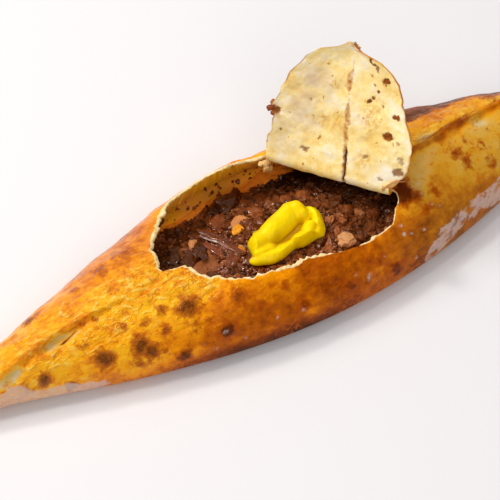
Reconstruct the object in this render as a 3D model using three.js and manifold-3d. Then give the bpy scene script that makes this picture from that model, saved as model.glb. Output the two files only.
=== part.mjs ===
// A closed Turkish pide: a long boat of thin baked dough, folded over a layer of chopped fried meat.
// The dough's two long edges overlap in a seam that runs along the top. A window has been torn out of
// the top. The torn lid is still joined to the crust along a straight fold at the window's right-hand
// end, and it stands up and leans back on that fold. A knob of soft butter sits on the meat.
//
// Frame: millimetres. +X runs along the loaf, +Y points to the side that the lid leans towards, +Z is up.
// The origin is in the middle of the flat underside.
import * as THREE from "three";
import { mergeVertices } from "three/addons/utils/BufferGeometryUtils.js";
import Module from "manifold-3d";

const wasm = await Module();
wasm.setup();

// ---- driving dimensions ----
const loaf = {
  length: 500,
  width: 120,
  height: 49, // from the underside to the top of the crust, halfway along
  tipHalfWidth: 13, // how blunt the two ends are
  tipHeight: 14,
  foldHeight: 6, // of the loaf's widest line above the underside
  tipLift: 5, // how far the ends curl up off the table
  bow: 3, // how far the middle of the loaf bows towards +Y
  flatShare: 0.75, // share of the width that the underside takes
  undersideRise: 0.25, // of the underside round its flat patch, as a share of the fold height
};
// Powers that shape the loaf: how its width and its height fall off towards the blunt ends, and how
// square its cross-section is.
const taper = { width: 1.85, height: 0.8, blunt: 0.3, section: 0.425 };
const crust = { thickness: 3.4, floor: 4.5 };
const hollow = { middle: -2, halfLength: 205, widthShare: 0.96, endPower: 8, roofPower: 0.12 };

// The flat patch that the loaf rests on, from above, with few corners so that it stands firmly. It
// widens upwards into the underside.
const restPatch = {
  corners: [[165, 1], [100, 29], [0, 40], [-100, 29], [-165, 1], [-100, -26], [0, -36], [100, -26]],
  depth: 3,
  widening: 1.12,
};

// The torn window from above: the outer skin's edge along the front, the lid's fold, then the back.
const windowMiddle = [-22, 2];
const foldFront = [53, -23.5];
const foldBack = [8, 45.5];
const windowRim = [
  [-95, -1.5], [-88, -5], [-80, -9], [-77, -15.5], [-71, -21.5], [-64, -25.5], [-53, -31.8], [-40, -35],
  [-20, -36.5], [0, -39.8], [14, -42.3], [29, -41.2], [40, -39.3], [47, -33], foldFront, [38, -0.5], [23, 22.5],
  foldBack, [-8, 51.5], [-28, 53.5], [-45, 52], [-60, 47], [-72, 38.5], [-83, 26.5], [-91, 13], [-93, 4],
];
// The window's back edge was pushed up when it was torn: how far, round which place along the loaf, and
// between which distances from the loaf's middle line that starts and is full.
const backLift = { rise: 9, middle: -33, halfLength: 38, from: 28, to: 48 };
const torn = { jag: 0.7, ledge: 2.2, depth: 2.6 }; // the crumb that shows inside the torn skin
const foldSinkWidth = 15; // how far from its fold the crust is pulled down flat

// The lid: its size from the fold to the tip and across, its angle to the table and its hollow curl.
const lid = {
  length: 79, thickness: 2.8, rise: 57, sideCurl: 6, tipCurl: 3, bendRadius: 4, root: 7, seamAcross: 0.56,
};

// The lid's torn outline: how far up from the fold, then how far its back and its front side are from its
// middle line.
const lidOutline = {
  back: [[0, 43], [8, 44.3], [12, 43], [16, 40.7], [26, 40.7], [28.5, 43.4], [33, 43], [40, 39.5], [43.5, 39.3],
    [47, 37], [54, 34.2], [60, 29.8], [66, 25.4], [72, 18.2], [75.5, 8], [78, 3.8], [79, 1]],
  front: [[0, 36], [3.5, 36.5], [7.5, 43.5], [13, 45.8], [20, 46.7], [29, 45.9], [37, 42.7], [42, 39.6],
    [51, 35.9], [57, 34.2], [62, 32.4], [67, 27.4], [72, 19.4], [74.6, 8], [77, 4], [79, 1]],
};

// The meat: its height in the middle of the window and by the back wall, and the gap round it.
const meat = { height: 25, backHeight: 10, gap: 1.2, restGap: 0.3, lumps: 70, lumpReach: 8 };

// The knob of butter: the level seat that the meat has under it, its outline from above, and the soft lobes
// that it is folded into, each a rounded ridge over a path.
const butter = {
  x: -14, y: -5, halfLength: 33, halfWidth: 18, seat: 25, skirt: 1.6, floor: 4,
  outline: [
    [-41, -12], [-37.5, -9.5], [-36.5, -6], [-35, -0.5], [-30.5, 2], [-28, 5.5], [-24.5, 5], [-18, 7.5], [-12, 8.2],
    [-7, 9.5], [-2.5, 11.2], [1.5, 10.6], [5.5, 8], [8, 4.5], [11.5, 1.5], [13.7, -2], [12.5, -8], [9.5, -15],
    [5.5, -19.2], [1, -18.5], [-3.5, -18.8], [-8, -19.2], [-12.5, -17.6], [-18, -19], [-24, -20.6], [-30.5, -20],
    [-36, -17.6], [-40, -15.2],
  ],
  lobes: [
    { path: [[-33, -4.5], [-27, -3.2], [-20, -1.8]], radius: 8, height: 10 },
    { path: [[-20, -1.8], [-10, 1], [-2, 3.6], [1, 2]], radius: 8, height: 11.8 },
    { path: [[-37, -13.5], [-31, -15], [-24, -15.5], [-17, -14]], radius: 5.2, height: 6.4 },
    { path: [[-36, -14], [-26, -12.6]], radius: 2.4, height: 7 },
    { path: [[-9, -13.5], [-3, -12], [-1, -8], [1, -2]], radius: 6, height: 8.2 },
    { path: [[8, 0.5], [8.5, -5], [6, -12]], radius: 5.4, height: 7.6 },
    { path: [[5, -17], [1, -18.5]], radius: 3.6, height: 5.4 },
  ],
};

// ---- small helpers ----
const radians = (degrees) => (degrees * Math.PI) / 180;
const mix = (a, b, t) => a + (b - a) * t;
const clamp01 = (v) => Math.min(1, Math.max(0, v));
const smoothstep = (a, b, v) => {
  const t = clamp01((v - a) / (b - a));
  return t * t * (3 - 2 * t);
};
const bump = (distance, radius) => Math.exp(-((distance / radius) ** 2));
const between = (a, b, t) => a.map((value, i) => mix(value, b[i], t));

// A small seeded random number source.
function seeded(seed) {
  let state = seed;
  return () => {
    state = (state * 1664525 + 1013904223) % 4294967296;
    return state / 4294967296;
  };
}

// How far a point is from a straight line between two points, from above, and how far along it that is.
function nearestOnLine([x, y], [ax, ay], [bx, by]) {
  const along = clamp01(((x - ax) * (bx - ax) + (y - ay) * (by - ay)) / ((bx - ax) ** 2 + (by - ay) ** 2));
  return { along, distance: Math.hypot(x - mix(ax, bx, along), y - mix(ay, by, along)) };
}

const distanceToPath = (point, path) =>
  Math.min(...path.slice(1).map((end, i) => nearestOnLine(point, path[i], end).distance));

// The value at a place in a list of places and values, on a straight line between its neighbours.
function lookUp(list, place) {
  const i = Math.max(1, list.findIndex(([at]) => at >= place));
  const [[from, low], [to, high]] = [list[i - 1], list[i]];
  return mix(low, high, clamp01((place - from) / (to - from)));
}

// ---- the loaf's smooth hull ----
const fullness = (x) => Math.max(0, 1 - ((2 * x) / loaf.length) ** 2);
const bowAt = (x) => loaf.bow * fullness(x);
const halfWidthAt = (x) =>
  loaf.tipHalfWidth * Math.sqrt(fullness(x)) +
  (loaf.width / 2 - loaf.tipHalfWidth) * fullness(x) ** taper.width;
const crownAt = (x) =>
  loaf.tipHeight * fullness(x) ** taper.blunt +
  (loaf.height - loaf.tipHeight) * fullness(x) ** taper.height;
const foldHeightAt = (x) => loaf.foldHeight * fullness(x) ** taper.blunt;
const liftAt = (x) => loaf.tipLift * smoothstep(0.5, 1, Math.abs((2 * x) / loaf.length));
const undersideAt = (x) => liftAt(x) + foldHeightAt(x) * loaf.undersideRise;
const roundingAt = (x, y) =>
  Math.max(0, 1 - ((y - bowAt(x)) / Math.max(halfWidthAt(x), 1e-6)) ** 2) ** taper.section;
const domeTop = (x, y) =>
  liftAt(x) + foldHeightAt(x) + (crownAt(x) - foldHeightAt(x)) * roundingAt(x, y);

// ---- relief that the baked dough has on its top ----
// The two sheets of dough overlap along the seam. Each lap is highest just behind its edge and fades out.
// On the left-hand end it starts between two places along the loaf, beyond a crease.
const seam = {
  leftLap: 1.9, leftFrom: -108, leftFull: -136, rightLap: 3.8, edge: 1.5, fade: 9, dipShare: 0.35, dipHalfWidth: 3,
  gap: 68,
};
const seamAt = (x) =>
  mix(
    -6.5 + 1.5 * Math.sin(x / 14),
    -4 + 9 * smoothstep(60, 150, x) - 5 * smoothstep(150, 250, x),
    smoothstep(-60, 40, x),
  );

// One sheet of dough laps over the other: the back one on the left-hand end, the front one on the right.
function seamRelief(x, y) {
  const side = x < 0 ? 1 : -1;
  const lapHeight = x < 0 ? seam.leftLap * smoothstep(seam.leftFrom, seam.leftFull, x) : seam.rightLap;
  const across = (y - seamAt(x)) * side;
  const lap = across > 0
    ? Math.exp(-across / seam.fade) * smoothstep(0, seam.edge, across)
    : -seam.dipShare * bump(across, seam.dipHalfWidth);
  const besideWindow = smoothstep(0, 8, Math.abs(x + 20) - seam.gap);
  return lapHeight * lap * smoothstep(0, 22, halfWidthAt(x)) * besideWindow;
}

// Gaps and dents along the seam.
const seamPockets = [
  { x: -160, y: -8.3, halfLength: 12, halfWidth: 3.2, depth: 2.6 },
  { x: -195, y: -10, halfLength: 9, halfWidth: 2.8, depth: 2.2 },
  { x: 127, y: -2, halfLength: 13, halfWidth: 4, depth: 2.2 },
];
const creases = [
  { from: [-96, -6], to: [-114, -10.5], halfWidth: 2.2, depth: 1.6 },
  { from: [117, 0], to: [103, -8], halfWidth: 2.6, depth: 1.3 },
  { from: [92, 0], to: [80, -12], halfWidth: 5, depth: 2 },
  { from: [80, -12], to: [66, -27], halfWidth: 7, depth: 2.4 },
];

function relief(x, y) {
  let height = seamRelief(x, y);
  for (const p of seamPockets)
    height -= p.depth * bump(x - p.x, p.halfLength) * bump(y - p.y, p.halfWidth);
  for (const c of creases) height -= c.depth * bump(nearestOnLine([x, y], c.from, c.to).distance, c.halfWidth);
  height += 0.8 * Math.sin(x / 11 + 1.3 * Math.sin(y / 13)) * Math.sin(y / 9 + x / 31 + 0.7);
  height += 0.7 * Math.sin(x / 23 - y / 17 + 2);
  return height;
}

const backLiftAt = (x, y) =>
  backLift.rise * bump(x - backLift.middle, backLift.halfLength) *
  smoothstep(backLift.from, backLift.to, y - bowAt(x));

// The lid's fold is straight, so the crust is pulled down to the straight line between the fold's ends.
const foldHeight = (along) => mix(domeTop(...foldBack), domeTop(...foldFront), along);

// Height of the crust's outer face over a point seen from above.
function crustTop(x, y) {
  const { along, distance } = nearestOnLine([x, y], foldBack, foldFront);
  const dome = domeTop(x, y);
  const pull = bump(distance, foldSinkWidth);
  const sunk = dome - Math.max(0, dome - foldHeight(along)) * pull;
  const onTop = clamp01(roundingAt(x, y) * 1.6 - 0.3); // none at the loaf's widest line
  return sunk + (relief(x, y) + backLiftAt(x, y)) * onTop * (1 - pull);
}

// ---- the hollow ----
const floorAt = (x) => crust.floor + liftAt(x);

// How far inside the hollow a point is: 1 on its axis, 0 at its edge and less outside.
function hollowShare(x, y, inset = 0) {
  const across = (y - bowAt(x)) / (halfWidthAt(x) * hollow.widthShare - crust.thickness - inset);
  const along = (x - hollow.middle) / (hollow.halfLength - inset);
  return 1 - across ** 2 - along ** hollow.endPower;
}
const ceilingAt = (x, y) => {
  const share = Math.max(0, hollowShare(x, y)) ** hollow.roofPower;
  return mix(floorAt(x), crustTop(x, y) - crust.thickness, share);
};

// ---- lines from the window's rim out to the hull's edge, seen from above ----
const rimByAngle = new THREE.CatmullRomCurve3(
  windowRim.map(([x, y]) => new THREE.Vector3(x, y, 0)), true, "catmullrom", 0.4,
).getPoints(windowRim.length * 24).map(({ x, y }) => ({
  angle: Math.atan2(y - windowMiddle[1], x - windowMiddle[0]),
  radius: Math.hypot(x - windowMiddle[0], y - windowMiddle[1]),
})).sort((a, b) => a.angle - b.angle);

// The rim's point at an angle round the window, moved inwards by a distance.
function rimPoint(angle, inwards) {
  const turn = Math.atan2(Math.sin(angle), Math.cos(angle));
  const { radius } = rimByAngle.find((r) => r.angle >= turn) ?? rimByAngle[0];
  const jag = torn.jag * (Math.sin(9 * angle) * Math.sin(23 * angle + 1) + 0.5 * Math.sin(41 * angle));
  const reach = radius + jag - inwards;
  return [windowMiddle[0] + reach * Math.cos(angle), windowMiddle[1] + reach * Math.sin(angle)];
}

function hullEdge(turn) {
  const x = (loaf.length / 2) * Math.cos(turn);
  return [x, bowAt(x) + Math.sign(Math.sin(turn)) * halfWidthAt(x)];
}

// Where a line from the rim to the hull's edge leaves the hollow.
function hollowEnd(rim, edge, inset) {
  let [inside, outside] = [0, 1];
  for (let step = 0; step < 30; step++) {
    const middle = (inside + outside) / 2;
    if (hollowShare(...between(rim, edge, middle), inset) > 0) inside = middle;
    else outside = middle;
  }
  return between(rim, edge, inside);
}

const windowShape = { length: 0.32, width: 0.9 }; // how the hull's outline shrinks to the window's
const spokeCount = 80;
const spokes = Array.from({ length: spokeCount }, (_, i) => {
  const edge = hullEdge((2 * Math.PI * (i + 0.5)) / spokeCount);
  const angle = Math.atan2(windowShape.width * edge[1], windowShape.length * edge[0]);
  const rim = rimPoint(angle, 0);
  const { distance } = nearestOnLine(rim, foldBack, foldFront);
  const crumb = rimPoint(angle, torn.ledge * mix(0.1, 1, smoothstep(1, 7, distance)));
  return { edge, rim, crumb, wall: hollowEnd(rim, edge, 0), meatEnd: hollowEnd(rim, edge, meat.gap) };
});

// ---- closed meshes ----
// A closed surface through rings of equally many points, from one pole to another.
function surfaceOfRings(firstPole, rings, lastPole) {
  const count = rings[0].length;
  const points = [firstPole, ...rings.flat(), lastPole];
  const at = (ring, i) => 1 + ring * count + (i % count);
  const faces = [];
  for (let i = 0; i < count; i++) {
    faces.push(0, at(0, i + 1), at(0, i));
    for (let r = 0; r < rings.length - 1; r++) {
      faces.push(at(r, i), at(r, i + 1), at(r + 1, i + 1));
      faces.push(at(r, i), at(r + 1, i + 1), at(r + 1, i));
    }
    faces.push(points.length - 1, at(rings.length - 1, i), at(rings.length - 1, i + 1));
  }
  const geometry = new THREE.BufferGeometry();
  geometry.setAttribute("position", new THREE.BufferAttribute(new Float32Array(points.flat()), 3));
  geometry.setIndex(faces);
  return geometry;
}

function solidOf(geometry) {
  const bare = geometry.clone();
  bare.deleteAttribute("normal");
  bare.deleteAttribute("uv");
  const merged = mergeVertices(bare, 1e-4);
  return new wasm.Manifold(
    new wasm.Mesh({
      numProp: 3,
      vertProperties: merged.attributes.position.array,
      triVerts: new Uint32Array(merged.index.array),
    }),
  );
}

function geometryOf(solid) {
  const { vertProperties, triVerts } = solid.getMesh();
  const geometry = new THREE.BufferGeometry();
  geometry.setAttribute("position", new THREE.BufferAttribute(new Float32Array(vertProperties), 3));
  geometry.setIndex(Array.from(triVerts));
  return geometry;
}

// ---- the crust: outer hull, torn rim and hollow in one skin ----
function crustShell() {
  const rings = [];
  const ring = (place) => rings.push(spokes.map(place));
  for (const share of [0.4, 0.75])
    ring(({ edge: [x, y] }) => [x * share, y * share * loaf.flatShare, undersideAt(x * share)]);
  for (const turn of [-90, -50, -20, 0])
    ring(({ edge: [x, y] }) => {
      const below = Math.sin(radians(turn));
      const inset = 1 + (1 - loaf.flatShare) * below;
      const height = mix(undersideAt(x), liftAt(x) + foldHeightAt(x), 1 + below);
      return [x, bowAt(x) + (y - bowAt(x)) * inset, height];
    });
  const topRows = 19;
  const crowding = { side: 1.9, end: 1.15 }; // rows crowd by the steep side, and less at the long ends
  for (let row = 1; row <= topRows; row++)
    ring(({ edge, rim }) => {
      const ends = smoothstep(50, 150, Math.hypot(edge[0] - rim[0], edge[1] - rim[1]));
      const [x, y] = between(edge, rim, (row / topRows) ** mix(crowding.side, crowding.end, ends));
      return [x, y, crustTop(x, y)];
    });
  ring(({ crumb: [x, y] }) => [x, y, crustTop(x, y) - torn.depth]);
  const ceilingRows = 8;
  for (let row = 1; row <= ceilingRows; row++)
    ring(({ rim, wall }) => {
      const [x, y] = between(rim, wall, 1 - (1 - row / ceilingRows) ** 2);
      return [x, y, row < ceilingRows ? ceilingAt(x, y) : floorAt(x)];
    });
  for (const share of [0.66, 0.33])
    ring(({ wall }) => {
      const [x, y] = between(windowMiddle, wall, share);
      return [x, y, floorAt(x)];
    });
  return surfaceOfRings([0, 0, undersideAt(0)], rings, [...windowMiddle, crust.floor]);
}

// The flat patch under the loaf, which reaches up into its floor.
function restPad() {
  const { corners, depth, widening } = restPatch;
  const above = corners.map(([x, y]) => [x * widening, y * widening, depth]);
  return wasm.Manifold.hull([...corners.map((corner) => [...corner, 0]), ...above]);
}

// ---- the lid, folded up ----
const foldStart = new THREE.Vector3(...foldBack, foldHeight(0) - crust.thickness / 2);
const foldEnd = new THREE.Vector3(...foldFront, foldHeight(1) - crust.thickness / 2);
const foldAxis = foldEnd.clone().sub(foldStart).normalize();
const awayFromWindow = new THREE.Vector3(-foldAxis.y, foldAxis.x, 0).normalize();
const foldUp = new THREE.Vector3().crossVectors(foldAxis, awayFromWindow).normalize();
const foldMiddle = foldStart.distanceTo(foldEnd) / 2 + 2.5;

// Where the dough is after a length of it from the fold: level in the crust, round a bend, then
// straight up the lid. The facing is the angle that it has turned through.
function lidPath(travelled) {
  const turn = Math.PI - radians(lid.rise);
  const facing = Math.min(Math.max(travelled, 0) / lid.bendRadius, turn);
  const straight = Math.max(travelled - lid.bendRadius * turn, 0);
  return {
    facing,
    straight,
    away:
      -Math.min(travelled, 0) - lid.bendRadius * Math.sin(facing) + straight * Math.cos(radians(lid.rise)),
    up: lid.bendRadius * (1 - Math.cos(facing)) + straight * Math.sin(radians(lid.rise)),
  };
}

// A point of the lid: across from 0 at the fold's back end to 1 at its front end, and face from 0 on
// the pale inner face to 1 on the baked one. The sides and the tip curl towards the window.
function lidPoint(across, travelled, face) {
  const path = lidPath(travelled);
  const share = Math.min(path.straight / lid.length, 1);
  const side = 2 * across - 1;
  const halfWidth = lookUp(side < 0 ? lidOutline.back : lidOutline.front, Math.min(path.straight, lid.length));
  const curl = lid.sideCurl * Math.abs(side) ** 2.5 * smoothstep(0, 0.5, share) +
    lid.tipCurl * smoothstep(0.5, 1, share);
  const groove = face === 0 ? 0.8 * bump(across - lid.seamAcross, 0.02) * smoothstep(0, 0.1, share) : 0;
  const out = (face - 0.5) * lid.thickness - curl + groove;
  return foldStart.clone()
    .addScaledVector(foldAxis, foldMiddle + side * halfWidth)
    .addScaledVector(awayFromWindow, path.away + out * Math.sin(path.facing))
    .addScaledVector(foldUp, path.up + out * Math.cos(path.facing))
    .toArray();
}

function lidSheet() {
  const bendLength = lid.bendRadius * (Math.PI - radians(lid.rise));
  const stops = [-lid.root, 0, ...[0.25, 0.5, 0.75, 1].map((share) => share * bendLength)];
  const rows = 15;
  for (let row = 1; row < rows; row++)
    stops.push(bendLength + lid.length * Math.sin((row / rows) * (Math.PI / 2)));
  const columns = [0, 0.07, 0.2, 0.34, 0.48, 0.54, lid.seamAcross, 0.58, 0.64, 0.77, 0.9, 1];
  const rings = stops.map((travelled) => [
    ...columns.map((across) => lidPoint(across, travelled, 0)),
    ...columns.toReversed().map((across) => lidPoint(across, travelled, 1)),
  ]);
  return surfaceOfRings(lidPoint(0.5, -lid.root, 0.5), rings, lidPoint(0.5, bendLength + lid.length, 0.5));
}

// ---- the chopped meat: a heap that fills the hollow, with the larger pieces fused on top ----
function meatHeight(x, y) {
  const [bx, by] = [x - butter.x, y - butter.y];
  const underButter = smoothstep(1.5, 1.1, Math.hypot(bx / butter.halfLength, by / butter.halfWidth));
  const slope = mix(meat.height, meat.backHeight, smoothstep(8, 46, y));
  const lumpy = 1.5 * Math.sin(x / 7 + 1.2 * Math.sin(y / 9)) + 1.2 * Math.sin(y / 6 - x / 13);
  return mix(slope + lumpy, butter.seat, underButter);
}

function meatCore() {
  const rings = [];
  const ring = (place) => rings.push(spokes.map(place));
  const bottomAt = (x) => floorAt(x) + meat.restGap;
  const topAt = ([x, y]) => Math.max(bottomAt(x) + 1, Math.min(meatHeight(x, y), ceilingAt(x, y) - meat.gap));
  ring(({ meatEnd }) => {
    const [x, y] = between(windowMiddle, meatEnd, 0.5);
    return [x, y, bottomAt(x)];
  });
  ring(({ meatEnd: [x, y] }) => [x, y, bottomAt(x)]);
  const hiddenRows = 6;
  for (let row = hiddenRows; row >= 1; row--)
    ring(({ rim, meatEnd }) => {
      const at = between(rim, meatEnd, 1 - (1 - row / hiddenRows) ** 2);
      return [...at, row < hiddenRows ? topAt(at) : bottomAt(at[0]) + 1];
    });
  for (const share of [1, 0.83, 0.67, 0.53, 0.3])
    ring(({ rim }) => {
      const at = between(windowMiddle, rim, share);
      return [...at, topAt(at)];
    });
  const [x, y] = windowMiddle;
  return surfaceOfRings([x, y, bottomAt(x)], rings, [x, y, topAt(windowMiddle)]);
}

// One piece of meat: a small uneven lump, flattened and turned at random.
function lump(random, x, y) {
  const size = mix(2.6, 6.5, random() ** 2);
  const geometry = new THREE.IcosahedronGeometry(size, 0);
  const position = geometry.attributes.position;
  const phases = [random(), random(), random()].map((r) => r * 6.3);
  for (let i = 0; i < position.count; i++) {
    const point = new THREE.Vector3().fromBufferAttribute(position, i);
    const uneven = 1 + 0.22 * Math.sin(point.x * 0.9 + phases[0]) * Math.sin(point.y * 0.8 + phases[1]);
    position.setXYZ(i, point.x * uneven * 1.25, point.y * uneven, point.z * uneven * 0.7);
  }
  geometry.rotateX(0.8 * (random() - 0.5));
  geometry.rotateZ(phases[2]);
  geometry.translate(x, y, meatHeight(x, y) + 0.1 * size);
  return solidOf(geometry);
}

// The lumps lie where the window shows them, clear of the butter and of the crust.
function fillingSolid() {
  const random = seeded(11);
  let solid = solidOf(meatCore());
  let placed = 0;
  while (placed < meat.lumps) {
    const angle = 2 * Math.PI * random();
    const [x, y] = between(windowMiddle, rimPoint(angle, -meat.lumpReach), Math.sqrt(random()));
    const [bx, by] = [(x - butter.x) / (butter.halfLength + 9), (y - butter.y) / (butter.halfWidth + 10)];
    const room = ceilingAt(x, y) - meatHeight(x, y);
    if (hollowShare(x, y, 10.5) < 0 || Math.hypot(bx, by) < 1 || room < 10) continue;
    solid = solid.add(lump(random, x, y));
    placed += 1;
  }
  return solid.decompose().sort((a, b) => b.volume() - a.volume())[0];
}

// ---- the knob of butter ----
// Height over its skirt. The lobes meet in soft creases.
function butterRise(point) {
  const rises = butter.lobes.map(({ path, radius, height }) =>
    height * Math.sqrt(Math.max(0, 1 - (distanceToPath(point, path) / radius) ** 2)));
  return [butter.floor, ...rises].reduce((sum, rise) => sum + rise ** 8, 0) ** (1 / 8);
}

function butterKnob() {
  const corners = butter.outline.map(([x, y]) => new THREE.Vector3(x, y, 0));
  const outline = new THREE.CatmullRomCurve3(corners, true, "catmullrom", 0.42)
    .getPoints(corners.length * 1.5).slice(1).map(({ x, y }) => [x, y]).reverse();
  const middle = [butter.x, butter.y];
  const base = butter.seat + meat.restGap;
  const ring = (share, place) => outline.map((corner) => {
    const point = between(middle, corner, share);
    return [...point, base + place(point)];
  });
  const rings = [ring(0.45, () => 0), ring(0.9, () => 0)];
  for (const share of [1, 0.985, 0.94, 0.87, 0.78, 0.67, 0.55, 0.43, 0.3, 0.16]) {
    const roundedEdge = clamp01(3 * (1 - share ** 2)) ** 0.4;
    rings.push(ring(share, (point) => butter.skirt + butterRise(point) * roundedEdge));
  }
  return surfaceOfRings([...middle, base], rings, [...middle, base + butter.skirt + butterRise(middle)]);
}

// ---- the object ----
function node(name, geometry, color, roughness) {
  const mesh = new THREE.Mesh(geometry, new THREE.MeshStandardMaterial({ color, roughness, metalness: 0 }));
  mesh.name = name;
  return mesh;
}

const pide = new THREE.Group();
pide.add(
  node("crust", geometryOf(solidOf(crustShell()).add(restPad()).add(solidOf(lidSheet()))), "#c98022", 0.45),
  node("filling", geometryOf(fillingSolid()), "#5a3320", 0.55),
  node("butter", butterKnob(), "#f2cf00", 0.35),
);
export default pide;
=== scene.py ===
import math

import bpy
import numpy as np
from mathutils import Matrix, Vector


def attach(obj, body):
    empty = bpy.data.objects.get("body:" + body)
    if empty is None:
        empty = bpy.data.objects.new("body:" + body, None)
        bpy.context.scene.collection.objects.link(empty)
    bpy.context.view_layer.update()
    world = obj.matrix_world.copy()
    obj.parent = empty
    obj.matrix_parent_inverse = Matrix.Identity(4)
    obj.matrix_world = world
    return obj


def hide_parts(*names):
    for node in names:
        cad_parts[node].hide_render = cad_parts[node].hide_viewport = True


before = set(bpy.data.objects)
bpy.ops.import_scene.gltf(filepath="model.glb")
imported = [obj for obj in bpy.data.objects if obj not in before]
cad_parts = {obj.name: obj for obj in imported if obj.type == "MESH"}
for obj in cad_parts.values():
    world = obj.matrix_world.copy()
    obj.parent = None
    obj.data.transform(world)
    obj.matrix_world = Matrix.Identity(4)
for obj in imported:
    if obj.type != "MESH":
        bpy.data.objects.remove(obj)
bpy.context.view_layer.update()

# A closed Turkish pide with its top torn open, its lid folded up, chopped meat inside and butter on the meat.
# Shapes are worked out in millimetres and put into meshes in metres. +X is along the loaf, +Z is up.

# ---- small tools ----


def mix(first, second, share):
    return first + (second - first) * share


def smoothStep(low, high, value):
    # 0 below low, 1 above high and an S-shaped rise between them
    share = np.clip((value - low) / (high - low), 0, 1)
    return share * share * (3 - 2 * share)


def bump(distance, radius):
    # a bell: 1 in the middle, 0.37 at the radius
    return np.exp(-((distance / radius) ** 2))


def unit(vector):
    return vector / np.linalg.norm(vector, axis=-1, keepdims=True)


def plan(x, y, z=0.0):
    return np.stack(np.broadcast_arrays(x, y, z), axis=-1).astype(float)


def scrambled(column, row, layer, seed):
    # a repeatable random whole number for each cell
    key = (column * 374761393 + row * 668265263 + layer * 982451653 + seed * 1274126177) & 0xFFFFFFFF
    key = (key ^ key >> 13) * 1274126177 & 0xFFFFFFFF
    return key ^ key >> 16


def latticeNoise(points, size, seed):
    # Random numbers from -1 to 1 on a cubic lattice of the given spacing, blended by a smooth step between
    # corners.
    scaled = points / size + 17.3 * seed
    cell = np.floor(scaled).astype(np.int64)
    part = scaled - cell
    part = part ** 3 * (part * (part * 6 - 15) + 10)
    total = np.zeros(points.shape[:-1])
    for corner in range(8):
        step = np.array([corner & 1, corner >> 1 & 1, corner >> 2 & 1])
        value = scrambled(*np.moveaxis(cell + step, -1, 0), seed) / 2147483648 - 1
        total += value * np.prod(np.where(step, part, 1 - part), axis=-1)
    return total


def layeredNoise(points, size, layers, seed):
    # A sum of lattice noises, each half as large and half as coarse as the one before it.
    return sum(latticeNoise(points, size / 2 ** layer, seed + layer) / 2 ** layer for layer in range(layers))


def cellNoise(x, y, size, seed):
    # Uneven cells about so many mm wide: how far a place is from the nearest cell's middle, as a share of the
    # size, and that cell's random number.
    column, row = np.floor(x / size).astype(np.int64), np.floor(y / size).astype(np.int64)
    nearest, number = np.full(x.shape, 9.0), np.zeros(x.shape)
    for right in (-1, 0, 1):
        for up in (-1, 0, 1):
            key = scrambled(column + right, row + up, 0, seed)
            middleX = column + right + 0.15 + 0.7 * (key & 0xFFFF) / 65535
            middleY = row + up + 0.15 + 0.7 * (key >> 16) / 65535
            distance = np.hypot(x / size - middleX, y / size - middleY)
            closer = distance < nearest
            nearest = np.where(closer, distance, nearest)
            number = np.where(closer, (key * 2654435761 >> 7 & 0xFFFF) / 65535, number)
    return nearest, number


def hexColour(text):
    # sRGB hex to the linear colour that Blender works in
    values = [int(text[at:at + 2], 16) / 255 for at in (1, 3, 5)]
    linear = [value / 12.92 if value < 0.04045 else ((value + 0.055) / 1.055) ** 2.4 for value in values]
    return linear + [1.0]


# ---- materials: addNode and what is built from it ----


def addNode(material, kind, links=None, stops=(), **settings):
    # One node: settings go to the node, links to its inputs, as a socket, a hex colour or a plain value.
    tree = material.node_tree
    node = tree.nodes.new("ShaderNode" + kind)
    for name, value in settings.items():
        setattr(node, name, value)
    for name, value in (links or {}).items():
        if isinstance(value, bpy.types.NodeSocket):
            tree.links.new(value, node.inputs[name])
        else:
            node.inputs[name].default_value = hexColour(value) if isinstance(value, str) else value
    for number, (position, colour) in enumerate(stops):
        elements = node.color_ramp.elements
        element = elements[number] if number < 2 else elements.new(position)
        element.position = position
        element.color = hexColour(colour)
    return node


def newMaterial(name):
    material = bpy.data.materials.new(name)
    material.use_nodes = True
    material.node_tree.nodes.clear()
    return material


def attributes(material, *names):
    return [addNode(material, "Attribute", attribute_name=name).outputs["Fac"] for name in names]


def noiseOf(material, place, size, detail, roughness=0.5, distortion=0.0):
    # noise whose features are so many millimetres across, on Object coordinates in metres
    links = {"Vector": place, "Scale": 1000.0 / size, "Detail": detail, "Roughness": roughness,
             "Distortion": distortion}
    return addNode(material, "TexNoise", links).outputs["Fac"]


def calc(material, operation, *values, clamp=False):
    return addNode(material, "Math", dict(enumerate(values)), operation=operation, use_clamp=clamp).outputs[0]


def scaleAdd(material, value, factor, added, clamp=False):
    return calc(material, "MULTIPLY_ADD", value, factor, added, clamp=clamp)


def ramp(material, value, stops):
    return addNode(material, "ValToRGB", {"Fac": value}, stops).outputs["Color"]


def blend(material, share, first, second):
    return addNode(material, "Mix", {0: share, 6: first, 7: second}, data_type="RGBA").outputs[2]


def ranged(material, value, low, high, top, bottom=0.0, curve="SMOOTHSTEP"):
    # bottom where the value is low and top where it is high
    links = {"Value": value, "From Min": low, "From Max": high, "To Min": bottom, "To Max": top}
    return addNode(material, "MapRange", links, interpolation_type=curve).outputs[0]


def finishMaterial(material, sockets, height=None, strength=0.0, depth=0.0):
    # the shader, with a bump whose depth is in mm
    if height:
        links = {"Height": height, "Strength": strength, "Distance": depth / 1000}
        sockets = {**sockets, "Normal": addNode(material, "Bump", links).outputs["Normal"]}
    shader = addNode(material, "BsdfPrincipled", sockets)
    addNode(material, "OutputMaterial", {"Surface": shader.outputs[0]})
    return material


# ---- closed meshes ----


def gridFaces(rows, columns):
    # Quads between the rings of a grid whose rows close on themselves.
    at = np.arange(rows)[:, None] * columns + np.arange(columns)
    after = np.roll(at, -1, axis=1)
    return np.stack([at[:-1], after[:-1], after[1:], at[1:]], axis=-1).reshape(-1, 4)


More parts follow.
